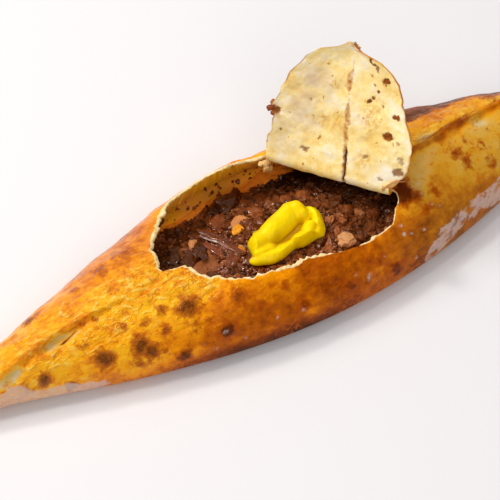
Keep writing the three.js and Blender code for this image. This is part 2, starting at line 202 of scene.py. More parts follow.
def poleFaces(rows, columns):
    # Triangles that close the first and the last ring with a pole each; the poles come after the grid's
    # points.
    last = rows * columns
    at = np.arange(columns)
    after = np.roll(at, -1)
    lower = np.stack([np.full(columns, last), after, at], axis=-1)
    upper = np.stack([np.full(columns, last + 1), last - columns + at, last - columns + after], axis=-1)
    return np.vstack([lower, upper])


def meshPiece(name, points, faceSets, materials, slotName, replaced, values, slots=None, smooth=True):
    # points in mm; faceSets are arrays of quads or triangles; values are numbers kept at each point; slots
    # give each face's material
    mesh = bpy.data.meshes.new(name)
    mesh.vertices.add(len(points))
    mesh.vertices.foreach_set("co", (points * 0.001).astype(np.float32).ravel())
    corners = np.concatenate([faces.ravel() for faces in faceSets])
    sizes = np.concatenate([np.full(len(faces), faces.shape[1]) for faces in faceSets])
    mesh.loops.add(len(corners))
    mesh.loops.foreach_set("vertex_index", corners.astype(np.int32))
    mesh.polygons.add(len(sizes))
    mesh.polygons.foreach_set("loop_start", (np.cumsum(sizes) - sizes).astype(np.int32))
    mesh.polygons.foreach_set("use_smooth", np.full(len(sizes), smooth))
    for material in materials:
        mesh.materials.append(material)
    if slots is not None:
        mesh.polygons.foreach_set("material_index", slots.astype(np.int32))
    for label, numbers in values.items():
        layer = mesh.attributes.new(label, "FLOAT", "POINT")
        layer.data.foreach_set("value", numbers.astype(np.float32).ravel())
    mesh.update(calc_edges=True)
    piece = bpy.data.objects.new(name, mesh)
    bpy.context.scene.collection.objects.link(piece)
    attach(piece, "root")
    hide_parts(*replaced)
    print(name, len(points), "points", int((sizes - 2).sum()), "triangles")


def ringPiece(name, rings, poles, *rest):
    # a closed skin through rings of points, from the pole under them to the pole over them
    rows, columns = rings.shape[:2]
    points = np.vstack([rings.reshape(-1, 3), poles])
    meshPiece(name, points, [gridFaces(rows, columns), poleFaces(rows, columns)], *rest)


# ---- the loaf's form ----

loaf = {
    "length": 500.0,
    "width": 120.0,
    "height": 49.0,
    "tipHalfWidth": 13.0,
    "tipHeight": 14.0,
    "foldHeight": 6.0,  # of the widest line above the underside
    "tipLift": 5.0,
    "bow": 3.0,
    "flatShare": 0.75,
    "undersideRise": 0.25,
    "thickness": 3.4,
    "floor": 4.5,
    "hollowMiddle": -2.0,
    "hollowHalfLength": 205.0,
    "hollowWidthShare": 0.96,
    "backLift": 9.0,  # how far the torn back edge is pushed up, where along it and over what half length
    "backLiftMiddle": -33.0,
    "backLiftHalfLength": 38.0,
}
restPatch = [(165, 1), (100, 29), (0, 40), (-100, 29), (-165, 1), (-100, -26), (0, -36), (100, -26)]
windowMiddle = np.array([-22.0, 2.0])
foldFront = np.array([53.0, -23.5])
foldBack = np.array([8.0, 45.5])
windowRim = np.array([
    (-95, -1.5), (-88, -5), (-80, -9), (-77, -15.5), (-71, -21.5), (-64, -25.5), (-53, -31.8), (-40, -35),
    (-20, -36.5), (0, -39.8), (14, -42.3), (29, -41.2), (40, -39.3), (47, -33), (53, -23.5), (38, -0.5),
    (23, 22.5), (8, 45.5), (-8, 51.5), (-28, 53.5), (-45, 52), (-60, 47), (-72, 38.5), (-83, 26.5), (-91, 13),
    (-93, 4),
], dtype=float)
# gaps in the seam: place, half length, half width and depth; creases: start, end, half width and depth
seamPockets = [(-160, -8.3, 12, 3.2, 2.6), (-195, -10, 9, 2.8, 2.2), (127, -2, 13, 4, 2.2)]
creases = [
    ((-96, -6), (-114, -10.5), 2.2, 1.6), ((117, 0), (103, -8), 2.6, 1.3), ((92, 0), (80, -12), 5, 2),
    ((80, -12), (66, -27), 7, 2.4),
]


def fullness(x):
    return np.clip(1 - (2 * x / loaf["length"]) ** 2, 0, 1)


def bowAt(x):
    return loaf["bow"] * fullness(x)


def halfWidthAt(x):
    return (loaf["tipHalfWidth"] * np.sqrt(fullness(x))
            + (loaf["width"] / 2 - loaf["tipHalfWidth"]) * fullness(x) ** 1.85)


def crownAt(x):
    return (loaf["tipHeight"] * fullness(x) ** 0.3
            + (loaf["height"] - loaf["tipHeight"]) * fullness(x) ** 0.8)


def foldHeightAt(x):
    return loaf["foldHeight"] * fullness(x) ** 0.3


def liftAt(x):
    return loaf["tipLift"] * smoothStep(0.5, 1, np.abs(2 * x / loaf["length"]))


def roundingAt(x, y):
    return np.clip(1 - ((y - bowAt(x)) / np.maximum(halfWidthAt(x), 1e-6)) ** 2, 0, 1) ** 0.425


def domeTop(x, y):
    return liftAt(x) + foldHeightAt(x) + (crownAt(x) - foldHeightAt(x)) * roundingAt(x, y)


def seamAt(x):
    right = -4 + 9 * smoothStep(60, 150, x) - 5 * smoothStep(150, 250, x)
    return mix(-6.5 + 1.5 * np.sin(x / 14), right, smoothStep(-60, 40, x))


def fromSeam(x, y):
    # mm from the seam, more than 0 on the sheet that laps over: the back one on the left, the front on the
    # right
    return (y - seamAt(x)) * np.where(x < 0, 1, -1)


def nearestOnLine(x, y, start, end):
    # share along a straight line and distance from it, seen from above
    run = np.subtract(end, start)
    along = np.clip(((x - start[0]) * run[0] + (y - start[1]) * run[1]) / (run @ run), 0, 1)
    return along, np.hypot(x - start[0] - along * run[0], y - start[1] - along * run[1])


def fromPath(x, y, corners):
    # distance to a line of several straight pieces
    pieces = zip(corners[:-1], corners[1:])
    return np.min([nearestOnLine(x, y, start, end)[1] for start, end in pieces], axis=0)


def relief(x, y):
    # the lap of the seam, its gaps, the creases and two long low waves
    lapHeight = np.where(x < 0, 1.9 * smoothStep(-108, -136, x), 3.8)
    across = fromSeam(x, y)
    lap = np.where(across > 0, np.exp(-np.maximum(across, 0) / 9) * smoothStep(0, 1.5, across),
                   -0.35 * bump(across, 3))
    height = lapHeight * lap * smoothStep(0, 22, halfWidthAt(x)) * smoothStep(0, 8, np.abs(x + 20) - 68)
    for pocketX, pocketY, halfLength, halfWidth, depth in seamPockets:
        height = height - depth * bump(x - pocketX, halfLength) * bump(y - pocketY, halfWidth)
    for start, end, halfWidth, depth in creases:
        height = height - depth * bump(nearestOnLine(x, y, start, end)[1], halfWidth)
    height = height + 0.8 * np.sin(x / 11 + 1.3 * np.sin(y / 13)) * np.sin(y / 9 + x / 31 + 0.7)
    return height + 0.7 * np.sin(x / 23 - y / 17 + 2)


def backLiftAt(x, y):
    return (loaf["backLift"] * bump(x - loaf["backLiftMiddle"], loaf["backLiftHalfLength"])
            * smoothStep(28, 48, y - bowAt(x)))


def foldHeight(along):
    return mix(domeTop(*foldBack), domeTop(*foldFront), along)


def crustTop(x, y):
    # the dome, pulled down to the lid's straight fold, with the relief and the raised back edge on it
    along, distance = nearestOnLine(x, y, foldBack, foldFront)
    dome = domeTop(x, y)
    pull = bump(distance, 15)
    return (dome - np.maximum(0, dome - foldHeight(along)) * pull
            + (relief(x, y) + backLiftAt(x, y)) * np.clip(roundingAt(x, y) * 1.6 - 0.3, 0, 1) * (1 - pull))


def floorAt(x):
    return loaf["floor"] + liftAt(x)


def hollowShare(x, y, inset=0.0):
    across = (y - bowAt(x)) / (halfWidthAt(x) * loaf["hollowWidthShare"] - loaf["thickness"] - inset)
    along = (x - loaf["hollowMiddle"]) / (loaf["hollowHalfLength"] - inset)
    return 1 - across ** 2 - along ** 8


def backWallAt(x):
    # how far back the hollow reaches
    return bowAt(x) + halfWidthAt(x) * loaf["hollowWidthShare"] - loaf["thickness"]


def ceilingAt(x, y):
    share = np.maximum(0, hollowShare(x, y)) ** 0.12
    return mix(floorAt(x), crustTop(x, y) - loaf["thickness"], share)


# ---- the window's rim ----

torn = {"jag": 0.7, "fineJag": 0.75, "ledge": 2.3, "depth": 2.3}
# teeth and notches of the torn rim: where they are from above, how far they reach inwards and how wide they
# are
rimTeeth = [
    (-91, 8, 1.8, 1.8), (-88, 17, 1.0, 1.6), (-84, -7, 1.4, 1.6), (-77, -12, 0.8, 1.4), (-69, -23, 1.3, 1.5),
    (-60, -28, -0.8, 1.6), (-40, -35, 1.0, 1.8), (-27, -36, -0.9, 1.5), (-16, -37, 0.9, 1.6),
    (12, -42, -0.7, 2.0), (-80, 30, 0.7, 1.8), (-66, 43, -0.8, 1.8), (-48, 51, 0.9, 2.2),
    (-20, 53, -0.8, 2.0), (-4, 51, 0.8, 1.8),
]


def closedCurve(corners, steps=24, tension=0.4):
    # a smooth closed line through the corners: cubic pieces whose slopes follow the corners on both sides
    share = (np.arange(steps) / steps)[:, None, None]
    before, after, beyond = (np.roll(corners, -shift, axis=0) for shift in (-1, 1, 2))
    points = ((2 * share ** 3 - 3 * share ** 2 + 1) * corners
              + (share ** 3 - 2 * share ** 2 + share) * tension * (after - before)
              + (3 * share ** 2 - 2 * share ** 3) * after
              + (share ** 3 - share ** 2) * tension * (beyond - corners))
    return points.transpose(1, 0, 2).reshape(-1, 2)


rimLine = closedCurve(windowRim) - windowMiddle
rimAngles = np.arctan2(rimLine[:, 1], rimLine[:, 0])
rimRadii = np.hypot(rimLine[:, 0], rimLine[:, 1])


def rimPoint(angle, inwards):
    # the rim in a direction from the window's middle, moved inwards, with coarse jags, fine jags and teeth
    radius = np.interp(angle, rimAngles, rimRadii, period=2 * math.pi)
    direction = np.stack([np.cos(angle), np.sin(angle)], axis=-1)
    x, y = (windowMiddle + radius[..., None] * direction).T
    ragged = smoothStep(0, 5, nearestOnLine(x, y, foldBack, foldFront)[1])
    radius = radius + torn["jag"] * layeredNoise(plan(x, y), 11, 2, 4)
    radius = radius + torn["fineJag"] * layeredNoise(plan(x, y), 2.6, 2, 5) * ragged
    for toothX, toothY, reach, width in rimTeeth:
        radius = radius - reach * bump(np.hypot(x - toothX, y - toothY), width)
    return windowMiddle + (radius - inwards)[..., None] * direction


def restEdge(x, y):
    # where a line from the origin crosses the outline of the flat patch on the underside
    corners = np.array(restPatch, dtype=float)
    after = np.roll(corners, -1, axis=0)
    run = after - corners
    top = corners[:, 0] * after[:, 1] - corners[:, 1] * after[:, 0]
    reach = top / (x[:, None] * run[:, 1] - y[:, None] * run[:, 0])
    return np.where(reach > 0, reach, np.inf).min(axis=1)


def spokeSet(count):
    # Lines from the window's rim out to the hull's edge, closer together at the middle of the long sides.
    step = 2 * math.pi * (np.arange(count) + 0.5) / count
    turn = step + 0.25 * np.sin(2 * step)
    x = loaf["length"] / 2 * np.cos(turn)
    edge = np.stack([x, bowAt(x) + np.sign(np.sin(turn)) * halfWidthAt(x)], axis=-1)
    angle = np.arctan2(0.9 * edge[:, 1], 0.32 * edge[:, 0])
    return edge, angle, rimPoint(angle, 0)


def farthest(start, end, inside, steps):
    # Halves the step between a point where the test holds and one where it fails until their border is found.
    low, high = np.zeros(len(start)), np.ones(len(start))
    for _ in range(steps):
        middle = (low + high) / 2
        holds = inside(*mix(start, end, middle[:, None]).T)
        low, high = np.where(holds, middle, low), np.where(holds, high, middle)
    return mix(start, end, low[:, None])


def hollowEnd(rim, edge, inset):
    return farthest(rim, edge, lambda x, y: hollowShare(x, y, inset) > 0, 30)


def gridNormals(points):
    # Outward directions from the differences between neighbours along and across a grid of closed rings.
    around = np.roll(points, -1, axis=1) - np.roll(points, 1, axis=1)
    onwards = np.empty_like(points)
    onwards[1:-1] = points[2:] - points[:-2]
    onwards[0], onwards[-1] = points[1] - points[0], points[-1] - points[-2]
    normal = np.cross(around, onwards)
    return normal / np.maximum(np.linalg.norm(normal, axis=-1, keepdims=True), 1e-9)


# ---- materials of the dough ----

# Egg-washed and baked at high heat: glossy golden skin, brown blisters where bubbles met the fire, flour
# dust. The pale and orange streaks along its wrinkled folds are painted highlights and painted shade.
crustLook = {
    "bakeStops": [(0.0, "#f8ca50"), (0.16, "#fabc18"), (0.3, "#fab00c"), (0.44, "#f09002"), (0.58, "#c66501"),
                  (0.74, "#8c3a02"), (1.0, "#351002")],
    "dullStops": [(0.0, "#cbbc98"), (0.2, "#d0a856"), (0.38, "#d49e2c"), (0.55, "#ba7a1c"), (0.75, "#7d4512"),
                  (1.0, "#381808")],
    "blisterHalo": "#aa4a04",
    "blister": "#541802",
    "fleck": "#c85e06",
    "paintedFoldHighlight": "#ffe878",
    "paintedFoldShade": "#d46c00",
    "flour": "#d6bfb6",
    "specular": "#ffc060",
    "fleckMm": 3.2,
    "patchMm": 17.0,
    "mottleMm": 6.0,
    "wrinkleMm": 2.6,
    "poreMm": 0.8,
    "dustMm": 2.6,
}


def bakedCrustMaterial():
    # attributes: how far it is baked, with painted shade and highlights mixed in, how dull, how glossy and
    # wrinkled, where it blistered, where flour lies
    dough = newMaterial("eggWashedBakedDough")
    place = addNode(dough, "TexCoord").outputs["Object"]
    bake, dull, gloss, blister, flour, crinkle = attributes(
        dough, "bake", "dull", "gloss", "blister", "flour", "crinkle")
    patch = noiseOf(dough, place, crustLook["patchMm"], 5.0, 0.55)
    mottle = noiseOf(dough, place, crustLook["mottleMm"], 4.0, 0.62)
    fleck = noiseOf(dough, place, crustLook["fleckMm"], 4.0, 0.65)
    drawn = addNode(dough, "VectorMath", {0: place, 1: (0.5, 1.0, 1.0)}, operation="MULTIPLY").outputs[0]
    wrinkle = noiseOf(dough, drawn, crustLook["wrinkleMm"], 2.5, 0.5, 0.5)

    patches = calc(dough, "ADD", scaleAdd(dough, patch, 0.42, -0.21), scaleAdd(dough, mottle, 0.42, -0.21))
    uneven = calc(dough, "ADD", patches, scaleAdd(dough, wrinkle, -0.16, 0.08))
    tone = calc(dough, "ADD", bake, uneven, clamp=True)
    vivid, muted = ramp(dough, tone, crustLook["bakeStops"]), ramp(dough, tone, crustLook["dullStops"])
    fleckMask = ranged(dough, scaleAdd(dough, patch, 0.7, fleck), 0.88, 1.04, 0.6)
    # painted highlights: pale streaks on the wrinkles' crests; painted shade: orange streaks between them
    folds = calc(dough, "POWER", crinkle, 1.6)
    foldHighlightMask = calc(dough, "MULTIPLY", ranged(dough, wrinkle, 0.53, 0.68, 0.6), folds)
    foldShadeMask = calc(dough, "MULTIPLY", ranged(dough, wrinkle, 0.46, 0.34, 0.45), folds)
    ragged = scaleAdd(dough, fleck, 0.6, mottle)
    spot = calc(dough, "ADD", blister, calc(dough, "SUBTRACT", ragged, 0.8))
    dustEdge = scaleAdd(dough, noiseOf(dough, place, crustLook["dustMm"], 5.0, 0.7), 2.4, -1.3)
    dust = ranged(dough, calc(dough, "ADD", flour, dustEdge), 0.22, 0.95, 0.72)
    colour = blend(dough, dull, vivid, muted)
    for share, layer in ((fleckMask, "fleck"), (foldHighlightMask, "paintedFoldHighlight"), (foldShadeMask, "paintedFoldShade"),
                         (ranged(dough, spot, 0.1, 0.46, 0.88), "blisterHalo"),
                         (ranged(dough, spot, 0.4, 0.8, 0.94), "blister"), (dust, "flour")):
        colour = blend(dough, share, colour, crustLook[layer])

    shine = calc(dough, "ADD", crinkle, scaleAdd(dough, gloss, 0.42, 0.16))
    rough = scaleAdd(dough, dust, 0.4, scaleAdd(dough, gloss, -0.24, 0.42), clamp=True)
    height = scaleAdd(dough, noiseOf(dough, place, crustLook["poreMm"], 2.0), 0.25, wrinkle)
    sockets = {"Base Color": colour, "Roughness": rough, "IOR": 1.45, "Specular IOR Level": shine,
               "Specular Tint": crustLook["specular"]}
    return finishMaterial(dough, sockets, height, scaleAdd(dough, crinkle, 0.75, 0.35), 2.3)


def crumbMaterial():
    # the torn edge of the dough: pale, dry and open-textured
    crumb = newMaterial("tornPaleCrumb")
    place = addNode(crumb, "TexCoord").outputs["Object"]
    grain = noiseOf(crumb, place, 2.2, 5.0, 0.7)
    colour = ramp(crumb, grain, [(0.3, "#d9a558"), (0.46, "#f3d596"), (0.7, "#fbe9c2")])
    sockets = {"Base Color": colour, "Roughness": 0.75, "IOR": 1.4, "Specular Tint": "#ffe0b0"}
    return finishMaterial(crumb, sockets, grain, 0.6, 0.6)


def innerCrustMaterial():
    # the inside of the dough over the meat: steamed smooth, stained by fat from pale yellow to orange-brown,
    # and darker towards the right as the lid's painted shadow
    inner = newMaterial("fatStainedInnerDough")
    place = addNode(inner, "TexCoord").outputs["Object"]
    stain, = attributes(inner, "bake")
    cloud = noiseOf(inner, place, 11.0, 5.0, 0.6)
    total = calc(inner, "ADD", scaleAdd(inner, cloud, 0.5, -0.25), stain, clamp=True)
    colour = ramp(inner, total, [(0.0, "#ffca3c"), (0.3, "#ffb41c"), (0.55, "#ffa63c"), (0.75, "#fb9428"),
                                 (1.0, "#b45c10")])
    sockets = {"Base Color": colour, "Roughness": 0.42, "IOR": 1.45, "Specular Tint": "#ffc070"}
    return finishMaterial(inner, sockets, noiseOf(inner, place, 1.8, 4.0), 0.4, 0.5)


bakedCrust = bakedCrustMaterial()
tornCrumb = crumbMaterial()
innerCrust = innerCrustMaterial()

# ---- the crust: hull, torn rim and hollow in one skin ----

shell = {"spokes": 640, "topRows": 98, "tornRows": 7, "ceilingRows": 18, "bubbles": 150, "seed": 7}
# dark blisters: place from above, radius and how dark they are
blisters = [
    (-105, 23, 7, 0.5), (-98, 20, 4, 0.35), (-120, 20, 6, 0.45), (-138, 18, 4, 0.5), (-139, -8, 3, 0.5),
    (-90, -28, 7.5, 0.8), (-62, -36, 6, 0.62), (-76, -45, 6, 0.95), (-102, -42, 5, 0.9), (-123, -30, 6, 0.9),
    (-119, -34, 5.5, 0.85), (-144, -26, 5.5, 1.0), (-105, -22, 4, 0.65), (-108, -31, 3.5, 0.5),
    (-116, -23, 3.5, 0.5), (-127, -34, 4, 0.6), (-128, -18, 3, 0.5), (-165, -24, 4, 0.7),
    (-178, -18, 4.5, 0.85), (-92, -37, 4, 0.5), (-97, -27, 3.5, 0.5), (-13, -43, 5.5, 0.52),
    (-4, -43, 4.5, 0.5), (1, -54, 6, 0.6), (-30, -52, 5, 0.6), (-36, -42, 4, 0.42), (-53, -44, 5, 0.5),
    (33, -55, 7, 0.8), (24, -51, 6, 0.5), (55, -26, 8, 1.1), (58, -20, 5, 0.9), (62, -30, 5, 0.6),
    (18, -49, 5, 0.45), (100, -18, 4.5, 0.6), (103, -24, 4, 0.6), (110, -12, 3, 0.45), (121, -28, 4, 0.5),
    (118, -25, 3, 0.4), (75, -32, 4, 0.5), (64, -39, 4.5, 0.5), (119, -17, 4, 0.4), (-152, -17, 3.5, 0.45),
    (-188, -16, 4, 0.5), (-112, -37, 3, 0.45), (-84, -37, 3, 0.4), (148, -8, 4, 0.5), (132, -20, 4, 0.4),
    (-169, 17, 5, 0.6), (-112, 10, 3, 0.35), (148, 14, 6, 0.4), (176, 12, 8, 0.6), (205, 9, 8, 0.75),
    (-60, 55, 6, 0.5), (-20, 58, 7, 0.5), (40, 56, 7, 0.6), (85, 44, 8, 0.8), (110, 36, 6, 0.7),
    (140, 30, 6, 0.5), (180, 18, 5, 0.5), (-200, 6, 5, 0.6), (-225, 0, 5, 0.6), (-235, -6, 4, 0.5),
    (225, 2, 6, 0.6),
]
# wavy glossy folds of the dough, lightened with painted highlights: place from above and radius
shinyFolds = [
    (-93, 4, 6), (-103, 3, 5), (-111, 1, 5), (-119, -1, 6), (-128, 0, 6), (-154, 4, 7), (-171, -13, 6),
    (-86, -14, 5), (-80, -17, 7), (-76, -23, 6), (87, 5, 4), (95, 3, 4), (105, 2, 4), (123, 3, 5),
]
ridgeLine = [(-63, -18), (-74, -14), (-87, -14), (-100, -14), (-112, -11.5), (-125, -12), (-137, -11)]
# where the far side of the right-hand end turns dark brown, and the band of flour on its near side: mm along
# the loaf, then mm across, and mm along with the heights of the band's lower and upper edges
farCrest = [(80, 24), (93, 19), (100, 19.5), (109, 21), (125, 22), (139, 20), (148, 17), (160, 16), (250, 4)]
flourBand = [(54, 0, 10), (59, 2, 16), (65, 5, 19), (73, 9, 22), (83, 12, 24.5), (100, 13, 24), (123, 7, 23),
             (150, 3, 19), (200, 0, 12)]
# flour left on the dough: place from above, radius and how thick it is
flourDust = [
    (-77, -45, 2.0, 0.9), (-90, -44, 2.2, 0.5), (-67, -50, 2.4, 0.6), (-84, -46.5, 2.6, 0.5),
    (-31, -53, 2, 0.8), (69, -37, 1.5, 0.9), (73, -39, 1.4, 0.8), (58, -46, 1.5, 0.9), (44, -41, 1.7, 0.9),
    (44, -45, 1.8, 0.9), (49, -46, 1.5, 0.8), (14, -54, 2.6, 0.9), (18, -56, 1.8, 0.8), (6, -52, 1.2, 0.9),
    (48, -53, 1.6, 0.8), (66, -30, 1.6, 0.8), (68, -24, 1.5, 0.8), (71, -20, 1.4, 0.8), (-46, -51, 1.6, 0.6),
    (27, -50, 1.2, 0.7), (0, 60, 9, 0.5), (-80, 50, 9, 0.5), (120, 36, 9, 0.5), (-130, 30, 8, 0.5),
]
# the two pale slits of the left-hand seam: middle, half length and half width; and the gap inside the
# longer one, painted dark as the shade in it
seamSlits = [(-160.5, -8.2, 12.5, 2.9), (-194, -10, 8, 2.2)]
slitGap = [(-161, -9.6), (-157, -8.6), (-152, -8)]


def spread(points, spots):
    # The strongest of a list of bell-shaped spots at each point; each spot is a place, a radius and a
    # strength.
    total = np.zeros(points.shape[:-1])
    for centre, radius, strength in spots:
        total = np.maximum(total, strength * bump(np.linalg.norm(points - centre, axis=-1), radius))
    return total


def onCrust(x, y):
    # the point of the outer skin over a place; beyond the widest line it is on that line
    limit = halfWidthAt(x) * 0.985
    y = bowAt(x) + np.clip(y - bowAt(x), -limit, limit)
    return np.array([x, y, crustTop(x, y)])


def crustRows():
    # Rings from the middle of the underside over the side and the top, round the torn rim, under the
    # ceiling and in to the middle of the floor. Each row comes with its kind.
    edge, angle, rim = spokeSet(shell["spokes"])
    x, y = edge.T
    reach = restEdge(x, y)
    rows, kinds = [], []

    def add(kind, *place):
        rows.append(plan(*place))
        kinds.append(kind)

    for share in (0.4, 0.8, 1):
        add("under", x * reach * share, y * reach * share)
    for turn in (-90, -70, -50, -36, -24, -12, 0):
        below = math.sin(math.radians(turn))
        inset = 1 + (1 - loaf["flatShare"]) * below
        height = liftAt(x) + foldHeightAt(x) * mix(loaf["undersideRise"], 1, 1 + below)
        add("under" if turn < -40 else "skin", x, bowAt(x) + (y - bowAt(x)) * inset, height)
    ends = smoothStep(50, 150, np.hypot(*(edge - rim).T))
    for row in range(1, shell["topRows"] + 1):
        share = (row / shell["topRows"]) ** mix(1.9, 1.15, ends)
        place = mix(edge, rim, share[:, None]).T
        add("skin", *place, crustTop(*place))
    fromFold = nearestOnLine(*rim.T, foldBack, foldFront)[1]
    ledge = torn["ledge"] * mix(0.1, 1, smoothStep(1, 7, fromFold))
    uneven = 1 + 0.5 * layeredNoise(plan(*rim.T), 6, 3, 9)
    ledge = ledge * uneven * (1 - 0.7 * smoothStep(28, 46, rim[:, 0]))
    for row in range(1, shell["tornRows"] + 1):
        share = row / shell["tornRows"]
        place = rimPoint(angle, ledge * math.sin(share * math.pi / 2) ** 0.9).T
        add("torn", *place, crustTop(*place) - torn["depth"] * share ** 1.4)
    wall = hollowEnd(rim, edge, 0)
    for row in range(1, shell["ceilingRows"] + 1):
        share = row / shell["ceilingRows"]
        place = mix(rim, wall, 1 - (1 - share) ** 2).T
        add("inner", *place, ceilingAt(*place) if share < 1 else floorAt(place[0]))
    for share in (0.66, 0.33):
        place = mix(windowMiddle, wall, share).T
        add("inner", *place, floorAt(place[0]))
    return np.array(rows), np.array(kinds), rim


def buildCrust():
    points, kinds, rim = crustRows()
    spokes = shell["spokes"]
    x, y = points[..., 0], points[..., 1]
    above = points[..., 2] - liftAt(x)
    across = fromSeam(x, y)
    along = plan(x / 2.6, y, points[..., 2])
    skin, under, ragged, inner = ((kinds == kind)[:, None] for kind in ("skin", "under", "torn", "inner"))

    # bubbles, blisters and wrinkles stand along the normal
    chance = np.random.default_rng(shell["seed"])
    skinRows = np.flatnonzero(skin)
    swell = np.zeros(x.shape)
    for _ in range(shell["bubbles"]):
        centre = points[chance.choice(skinRows), chance.integers(spokes)]
        radius = chance.uniform(2.5, 8)
        height = radius * chance.uniform(0.05, 0.11)
        swell = swell + height * bump(np.linalg.norm(points - centre, axis=-1), radius)
    spots = [(onCrust(*place), radius, dark) for *place, radius, dark in blisters]
    blister = spread(points, spots)
    swell = swell + 0.9 * blister * spread(points, [(place, radius * 1.3, 1) for place, radius, _ in spots])
    behind = smoothStep(-2, -5, across) * smoothStep(-26, -18, across) * smoothStep(62, 90, x)
    wrinkled = np.clip(smoothStep(-72, -92, x) * bump(y + 2, 24) + behind, 0, 1)
    swell = swell + 0.5 * wrinkled * layeredNoise(along, 5, 3, 21)
    shiny = spread(points, [(onCrust(*place), radius, 1) for *place, radius in shinyFolds])
    ridge = bump(fromPath(x, y, ridgeLine), 3.4)
    crinkle = 0.9 * shiny + 0.9 * ridge + 0.45 * wrinkled + 0.35 * smoothStep(-50, -68, x) * bump(y + 14, 16)
    crinkle = np.clip(crinkle, 0, 1)
    swell = (swell + 0.9 * ridge * (1 + 0.6 * layeredNoise(points, 5, 2, 23))
             + 0.6 * shiny * layeredNoise(along, 3, 2, 25))
    away = smoothStep(60, 75, np.abs(x + 15))
    lapped = np.where(x < 0, 0.5 * smoothStep(-120, -138, x), 1)
    lapUneven = away * lapped * (1 + 0.6 * layeredNoise(plan(x, 0 * y), 9, 2, 27))
    swell = swell + lapUneven * (1.1 * bump(across - 1.6, 1.5) - 1.0 * bump(across + 1.2, 1.3))
    swell = swell + 0.55 * layeredNoise(points, 22, 3, 31) + 0.16 * layeredNoise(points, 4.5, 3, 41)
    toRim = np.hypot(x - rim[:, 0], y - rim[:, 1])
    firm = smoothStep(0, 4, toRim) * skin * smoothStep(0, 0.35, roundingAt(x, y))
    rough = 0.5 * layeredNoise(points, 1.9, 2, 51) * ragged + 0.3 * layeredNoise(points, 6, 3, 61) * inner
    finished = points + gridNormals(points) * (swell * firm + rough)[..., None]

    # how far it is baked, with painted shade and painted highlights added where marked
    lip = bump(across - 1.4, 1.8) * away * lapped
    folded = bump(across - 2.6 + 1.6 * layeredNoise(points, 9, 2, 87), 3.4) * away * (x > 0)
    right = smoothStep(15, 80, x)
    left = smoothStep(-70, -110, x)
    front = smoothStep(-18, -50, y)
    far = smoothStep(140, 185, x)
    beyond = y - np.interp(x, *np.array(farCrest).T) + 2.0 * layeredNoise(points, 7, 3, 73)
    crest = smoothStep(-3, 3, beyond) * smoothStep(78, 92, x) * (1 - 0.6 * smoothStep(8, 20, beyond))
    body = bump(x - 122, 34) * smoothStep(3, 9, across) * smoothStep(38, 26, across)
    slits = np.max([smoothStep(1.2, 0.85, np.hypot((x - middleX) / halfLength, (y - middleY) / halfWidth))
                    for middleX, middleY, halfLength, halfWidth in seamSlits], axis=0)
    # painted shade: the slit's gap is coloured dark, as the shade inside it
    gap = bump(fromPath(x, y, slitGap), 0.9)
    dent = spread(points, [(onCrust(127, -2), 8, 1)])
    fromCreases = [nearestOnLine(x, y, start, end)[1] for start, end, *_ in creases]
    # painted shade: the two seam creases are coloured darker, as the shade that lies in them
    crease = bump(fromCreases[0], 2) + 0.5 * bump(fromCreases[1], 1.6)
    # the valley beside the lid: duller dough there, greyed as the lid's painted shadow
    valleyShade = np.maximum(bump(fromCreases[2], 6), bump(fromCreases[3], 6))
    # browner on the near side: partly baking, partly painted shade on the side turned from the light
    bake = (0.37 + 0.24 * front * (1 - 0.8 * left) + 0.13 * lip * (1 - 0.3 * right)
            + 0.1 * layeredNoise(points, 30, 2, 71))
    bake = bake + 0.16 * bump(x + 95, 38) * smoothStep(0, 18, y) + 0.16 * crease + 0.04 * right
    bake = (bake + (0.42 + 0.1 * far) * crest + 0.1 * smoothStep(-14, -4, beyond) * smoothStep(78, 92, x)
            - 0.04 * behind)
    # painted highlight: the band just beyond the right-hand lap is made lighter
    bake = bake + 0.24 * folded - 0.12 * bump(across + 4.5, 3) * away * (x > 0)
    # painted highlight: the patch near the rim at x -80, y -18 is made lighter
    bake = bake - 0.24 * body * (1 - folded) - 0.2 * bump(x + 80, 15) * bump(y + 18, 10)
    # browner still low on the near side of the left half, partly painted shade
    bake = bake - 0.18 * valleyShade - 0.2 * dent + 0.3 * smoothStep(17, 7, above) * front * smoothStep(20, -30, x)
    # painted shadow: a dark line under the lap's edge; painted highlights: the glossy folds and ridge are
    # lighter
    bake = bake + 0.16 * bump(across + 1.5, 1.6) * away * lapped - 0.06 * np.maximum(shiny, ridge)
    bake = np.maximum(bake, 0.33 * (1 - np.maximum(valleyShade, dent)))
    bake = bake * (1 - slits) + (0.14 + 0.2 * layeredNoise(along, 2.6, 2, 79)) * slits + 0.8 * gap
    # fat stains by height, and painted shadow of the lid darkening it towards the right
    innerStainAndShade = (0.45 - 0.3 * smoothStep(26, 36, points[..., 2]) + 0.4 * smoothStep(10, 26, x)
                 + 0.14 * layeredNoise(points, 9, 3, 77))
    bake = np.where(inner, innerStainAndShade, bake)

